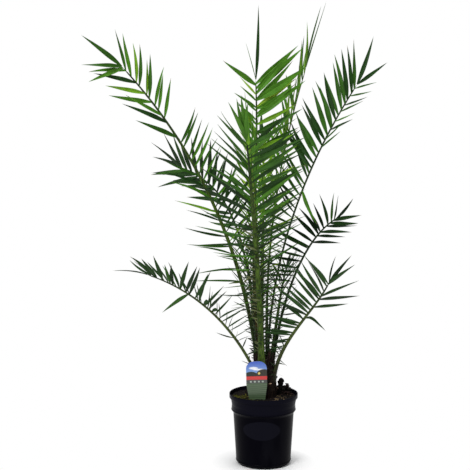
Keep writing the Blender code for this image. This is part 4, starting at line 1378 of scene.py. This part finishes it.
def build_pot():
    """Pot shell with its rolled lip, collar and drain holes."""
    mesh = bpy.data.meshes.new("pot_shell")
    profile = pot_profile()
    edges = [(index, index + 1) for index in range(len(profile) - 1)]
    mesh.from_pydata([(radius, 0.0, height) for radius, height in profile], edges, [])
    pot = bpy.data.objects.new("pot_shell", mesh)
    bpy.context.scene.collection.objects.link(pot)
    screw = pot.modifiers.new("turn", "SCREW")
    screw.steps = POT_SEGMENTS
    screw.render_steps = POT_SEGMENTS
    screw.use_merge_vertices = True
    screw.merge_threshold = 0.00001
    cutters = []
    for index in range(DRAIN_COUNT):
        place = turned(DRAIN_RING_RADIUS, math.tau * (index + 0.5) / DRAIN_COUNT, POT_FLOOR / 2.0)
        bpy.ops.mesh.primitive_cylinder_add(
            vertices=32, radius=DRAIN_RADIUS, depth=POT_FLOOR * 4.0, location=place
        )
        cutters.append(bpy.context.object)
        boolean = pot.modifiers.new("hole", "BOOLEAN")
        boolean.operation = "DIFFERENCE"
        boolean.object = cutters[-1]
    bpy.context.view_layer.update()
    shape = bpy.data.meshes.new_from_object(pot.evaluated_get(bpy.context.evaluated_depsgraph_get()))
    pot.modifiers.clear()
    pot.data = shape
    for hole in cutters:
        bpy.data.objects.remove(hole, do_unlink=True)
    shape.name = "pot_shell"
    shape.polygons.foreach_set("use_smooth", [True] * len(shape.polygons))
    shape.set_sharp_from_angle(angle=math.radians(32.0))
    shape.materials.clear()
    shape.materials.append(MATERIALS["pot"])
    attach(pot, "root")
    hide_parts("pot")


def on_soil(x, y):
    """Point on the soil's surface: a low crown with clods and crumbs."""
    share = min(1.0, math.hypot(x, y) / SOIL_RADIUS)
    crown = SOIL_CROWN * math.sin(math.pi * share) + SOIL_HEAPED * share
    height = SOIL_TOP_Z + crown
    for waves, depth, fineness, octaves, relief in SOIL_RELIEF:
        height += relief * noise.fractal(Vector((x * waves, y * waves, depth)), fineness, 2.0, octaves)
    return Vector((x, y, height))


def build_soil():
    """Rough soil surface, closed down the pot's wall and over its floor."""
    gathered = Gathered()
    turns = [math.tau * step / SOIL_SIDES for step in range(SOIL_SIDES)]
    edge = inner_radius(SOIL_TOP_Z + SOIL_HEAPED) - 0.0006
    top = []
    for ring in range(SOIL_RINGS):
        radius = edge * ((SOIL_RINGS - ring) / SOIL_RINGS)
        top += [on_soil(radius * math.cos(turn), radius * math.sin(turn)) for turn in turns]
    top.append(Vector((0.0, 0.0, SOIL_TOP_Z)))
    gathered.add(top, ring_faces(SOIL_RINGS, SOIL_SIDES, False, False), 0)
    bottom = POT_FLOOR + 0.0006
    depths = (COLLAR_FOOT_Z + POT_WALL, BODY_TOP_Z, BODY_FOOT_Z, bottom)
    low = []
    for depth in depths:
        radius = (FOOT_RADIUS - POT_WALL if depth < BODY_FOOT_Z else inner_radius(depth)) - 0.0004
        low += [turned(radius, turn, depth) for turn in turns]
    low.append(Vector((0.0, 0.0, bottom)))
    gathered.add(low, ring_faces(len(depths), SOIL_SIDES, True, False), 0)
    for step in range(SOIL_SIDES):
        after = (step + 1) % SOIL_SIDES
        gathered.faces.append((step, len(top) + step, len(top) + after, after))
        gathered.finishes.append(0)
    gathered.made("soil_surface", ["soil"], "potting_soil", ("soil",), 80.0)


def spot(chance, nearest, furthest, bearing_low=0.0, bearing_high=360.0):
    """A place on the soil, dealt by chance between two radii and two bearings."""
    radius = math.sqrt(chance.uniform(nearest ** 2, furthest ** 2))
    bearing = math.radians(chance.uniform(bearing_low, bearing_high))
    return on_soil(radius * math.cos(bearing), radius * math.sin(bearing))


def build_crumbs(chance):
    """Crumbs and bark chips, the dark stub, the heap of bark and the standing scraps."""
    litter = Gathered()
    for count, sizes, reach, lift, wide, thick, finishes in LUMPS:
        for _ in range(count):
            size = chance.uniform(*sizes)
            place = spot(chance, *reach)
            place.z += lift
            shape = (size, size * wide, size * thick)
            add_lump(litter, place, shape, chance, chance.choice(finishes))
    for x, y, up, size in STUB:
        add_lump(litter, Vector((x, y, SOIL_TOP_Z + up)), (size, size * 0.8, size * 1.1), chance, 0)
    for _ in range(HEAP_LUMPS):
        across = chance.uniform(-1.0, 1.0)
        deep = chance.uniform(-1.0, 1.0)
        up = HEAP_HEIGHT * chance.random() * (1.0 - across * across)
        x = HEAP_MIDDLE[0] + across * HEAP_REACH[0]
        y = HEAP_MIDDLE[1] + deep * HEAP_REACH[1]
        place = Vector((x, y, SOIL_TOP_Z + 0.002 + up))
        size = chance.uniform(0.0030, 0.0065)
        if math.hypot(x, y) < HEAP_LIMIT:
            add_lump(litter, place, (size, size * 0.7, size * 0.5), chance, chance.choice((0, 0, 1)))
    for x, y, lean, bearing, length, width, finish in SCRAPS:
        add_scale(
            litter, Vector((x, y, SOIL_TOP_Z)), lean, bearing, bearing + 80.0, length, width, finish,
            bend=chance.uniform(10.0, 60.0), twist=chance.uniform(-20.0, 20.0), thickness=0.0018,
        )
    finishes = ("crumb", "bark_chip", "bark_pale", "crumb", "crumb")
    litter.made("soil_crumbs", finishes, "potting_soil", (), 25.0)


def build_moss(chance):
    """Tufts of moss near the label."""
    moss = Gathered()
    tufts = [spot(chance, 0.042, 0.074, 165.0, 238.0) for _ in range(MOSS_TUFTS)]
    for index in range(MOSS_STRANDS):
        tuft = tufts[index % MOSS_TUFTS]
        x = tuft.x + chance.gauss(0.0, 0.0042)
        y = tuft.y + chance.gauss(0.0, 0.0042)
        if math.hypot(x, y) > MOSS_LIMIT:
            continue
        place = on_soil(x, y)
        ahead = growth(chance.uniform(5.0, 55.0), chance.uniform(0.0, 360.0))
        length = chance.uniform(0.0014, 0.0034)
        path = [place - ahead * 0.0004, place + ahead * length * 0.5, place + ahead * length]
        add_strand(moss, path, chance.uniform(0.0005, 0.0011), chance.choice((0, 1)), 0.6, 4)
    moss.made("soil_moss", ("moss", "moss_pale"), "potting_soil")


def build_straw(chance):
    """Bits of straw that lie on the soil in front and to the right."""
    straw = Gathered()
    for _ in range(STRAWS):
        place = spot(chance, 0.040, 0.074, -62.0, 20.0)
        bearing = chance.uniform(0.0, 360.0)
        length = chance.uniform(0.007, 0.022)
        path = []
        for step in range(6):
            ahead = growth(90.0 - chance.uniform(-6.0, 10.0), bearing + step * chance.uniform(-7.0, 7.0))
            point = place + ahead * length * step / 5
            point.z = max(point.z, on_soil(point.x, point.y).z + 0.0006)
            path.append(point)
        if max(math.hypot(point.x, point.y) for point in path) < STRAW_LIMIT:
            add_strand(straw, path, chance.uniform(0.0004, 0.0008), chance.choice((0, 0, 1)), 0.6, 5)
    straw.made("soil_straw", ("straw", "bark_chip"), "potting_soil")


def label_half_width(height):
    """Half the label's width at a height."""
    into_arch = (height - (LABEL_TOP_Z - LABEL_ARCH)) / LABEL_ARCH
    if into_arch <= 0.0:
        return along_table(LABEL_OUTLINE, height) / 2.0
    turn = math.asin(min(1.0, into_arch))
    return LABEL_WIDTH / 2.0 * (LABEL_FLAT_TOP + (1.0 - LABEL_FLAT_TOP) * math.cos(turn))


def build_label():
    """Thin label, a little curled, with its print in front and bare plastic behind."""
    gathered = Gathered()
    foot = LABEL_OUTLINE[0][0]
    arch_foot = LABEL_TOP_Z - LABEL_ARCH
    heights = [foot + (arch_foot - foot) * step / LABEL_ROWS for step in range(LABEL_ROWS)]
    for step in range(LABEL_ARCH_ROWS + 1):
        heights.append(arch_foot + LABEL_ARCH * math.sin(math.pi / 2.0 * step / LABEL_ARCH_ROWS))
    stand = Matrix.Rotation(math.radians(90.0) + LABEL_LEAN, 4, "X")
    tilt = Matrix.Rotation(LABEL_TILT, 4, "Y")
    stood = Matrix.Translation((LABEL_X, LABEL_Y, SOIL_TOP_Z)) @ tilt @ stand
    points = []
    places = []
    for height in heights:
        half = label_half_width(height)
        above_soil = max(0.0, height - SOIL_TOP_Z) / (LABEL_TOP_Z - SOIL_TOP_Z)
        for side in (1, -1):
            for column in range(LABEL_COLUMNS + 1):
                x = half * (column / LABEL_COLUMNS * 2.0 - 1.0) * side
                curl = LABEL_CURL * (1.0 - (x / (LABEL_WIDTH / 2.0)) ** 2) * above_soil
                skin = curl + side * LABEL_THICKNESS / 2.0
                points.append(stood @ Vector((x, height - SOIL_TOP_Z, skin)))
                places.append((x / LABEL_WIDTH + 0.5, (height - foot) / (LABEL_TOP_Z - foot)))
    around = 2 * (LABEL_COLUMNS + 1)
    faces = ring_faces(len(heights), around, pointed=False)
    finishes = ([0] * LABEL_COLUMNS + [1] * (around - LABEL_COLUMNS)) * (len(heights) - 1) + [1, 1]
    gathered.add(points, faces, finishes, places)
    gathered.made("label_plate", ("label_print", "label_back"), "label_plastic", ("care_label",), 50.0)


# Studio


def build_lights():
    """Soft square lights that the camera doesn't see."""
    for name, (place, height, size, power) in LIGHTS.items():
        data = bpy.data.lights.new(name, "AREA")
        data.shape = "SQUARE"
        data.size = size
        data.energy = power
        lamp = bpy.data.objects.new(name, data)
        lamp.location = place
        ahead = Vector((0.0, 0.0, height)) - Vector(place)
        lamp.rotation_euler = ahead.to_track_quat("-Z", "Y").to_euler()
        lamp.visible_camera = False
        bpy.context.scene.collection.objects.link(lamp)


def build_floor():
    """Matt white floor that passes into plain white a little way out from the pot."""
    look = Look("floor_white", (0.93, 0.93, 0.93), 0.9, 0.1)
    distance = look.tree.nodes.new("ShaderNodeVectorMath")
    distance.operation = "LENGTH"
    look.feed(distance.inputs[0], look.node("TexCoord", "Object"))
    fade = look.spread(distance.outputs["Value"], *FLOOR_FADE)
    glow = look.node("Emission", "Emission", Color=(1.0, 1.0, 1.0))
    surface = look.blended(fade, look.shader.outputs["BSDF"], glow)
    look.feed(look.tree.nodes["Material Output"].inputs["Surface"], surface)
    mesh = bpy.data.meshes.new("floor")
    turns = [math.tau * step / FLOOR_SIDES for step in range(FLOOR_SIDES)]
    mesh.from_pydata([turned(FLOOR_REACH, turn, FLOOR_Z) for turn in turns], [], [range(FLOOR_SIDES)])
    floor = bpy.data.objects.new("floor", mesh)
    bpy.context.scene.collection.objects.link(floor)
    mesh.materials.append(look.owner)


def build_world():
    """Plain white surroundings, whose light on the plant is softer than they look."""
    bpy.context.scene.world = bpy.data.worlds.new("studio")
    sky = Nodes(bpy.context.scene.world)
    sky.tree.nodes.remove(sky.tree.nodes["Background"])
    light = sky.node("Background", "Background", Color=WORLD_COLOUR, Strength=WORLD_STRENGTH)
    seen = sky.node("Background", "Background", Color=(1.0, 1.0, 1.0), Strength=1.0)
    surface = sky.blended(sky.node("LightPath", "Is Camera Ray"), light, seen)
    sky.feed(sky.tree.nodes["World Output"].inputs["Surface"], surface)


def build_camera():
    """Camera at the photo's place and angle."""
    data = bpy.data.cameras.new("camera")
    data.sensor_width = CAMERA_SENSOR
    data.lens = CAMERA_SENSOR * FOCAL_PIXELS / PHOTO_WIDTH
    camera = bpy.data.objects.new("camera", data)
    camera.location = CAMERA_PLACE
    camera.rotation_euler = (math.radians(90.0 - CAMERA_DIP), 0.0, 0.0)
    bpy.context.scene.collection.objects.link(camera)
    bpy.context.scene.camera = camera
    bpy.context.scene.view_settings.view_transform = "Standard"


build_fronds()
build_stem()
build_sheaths()
build_fibres()
build_pot()
build_soil()
litter_chance = random.Random(SEED + 60)
build_crumbs(litter_chance)
build_moss(litter_chance)
build_straw(litter_chance)
build_label()
build_floor()
build_world()
build_lights()
build_camera()
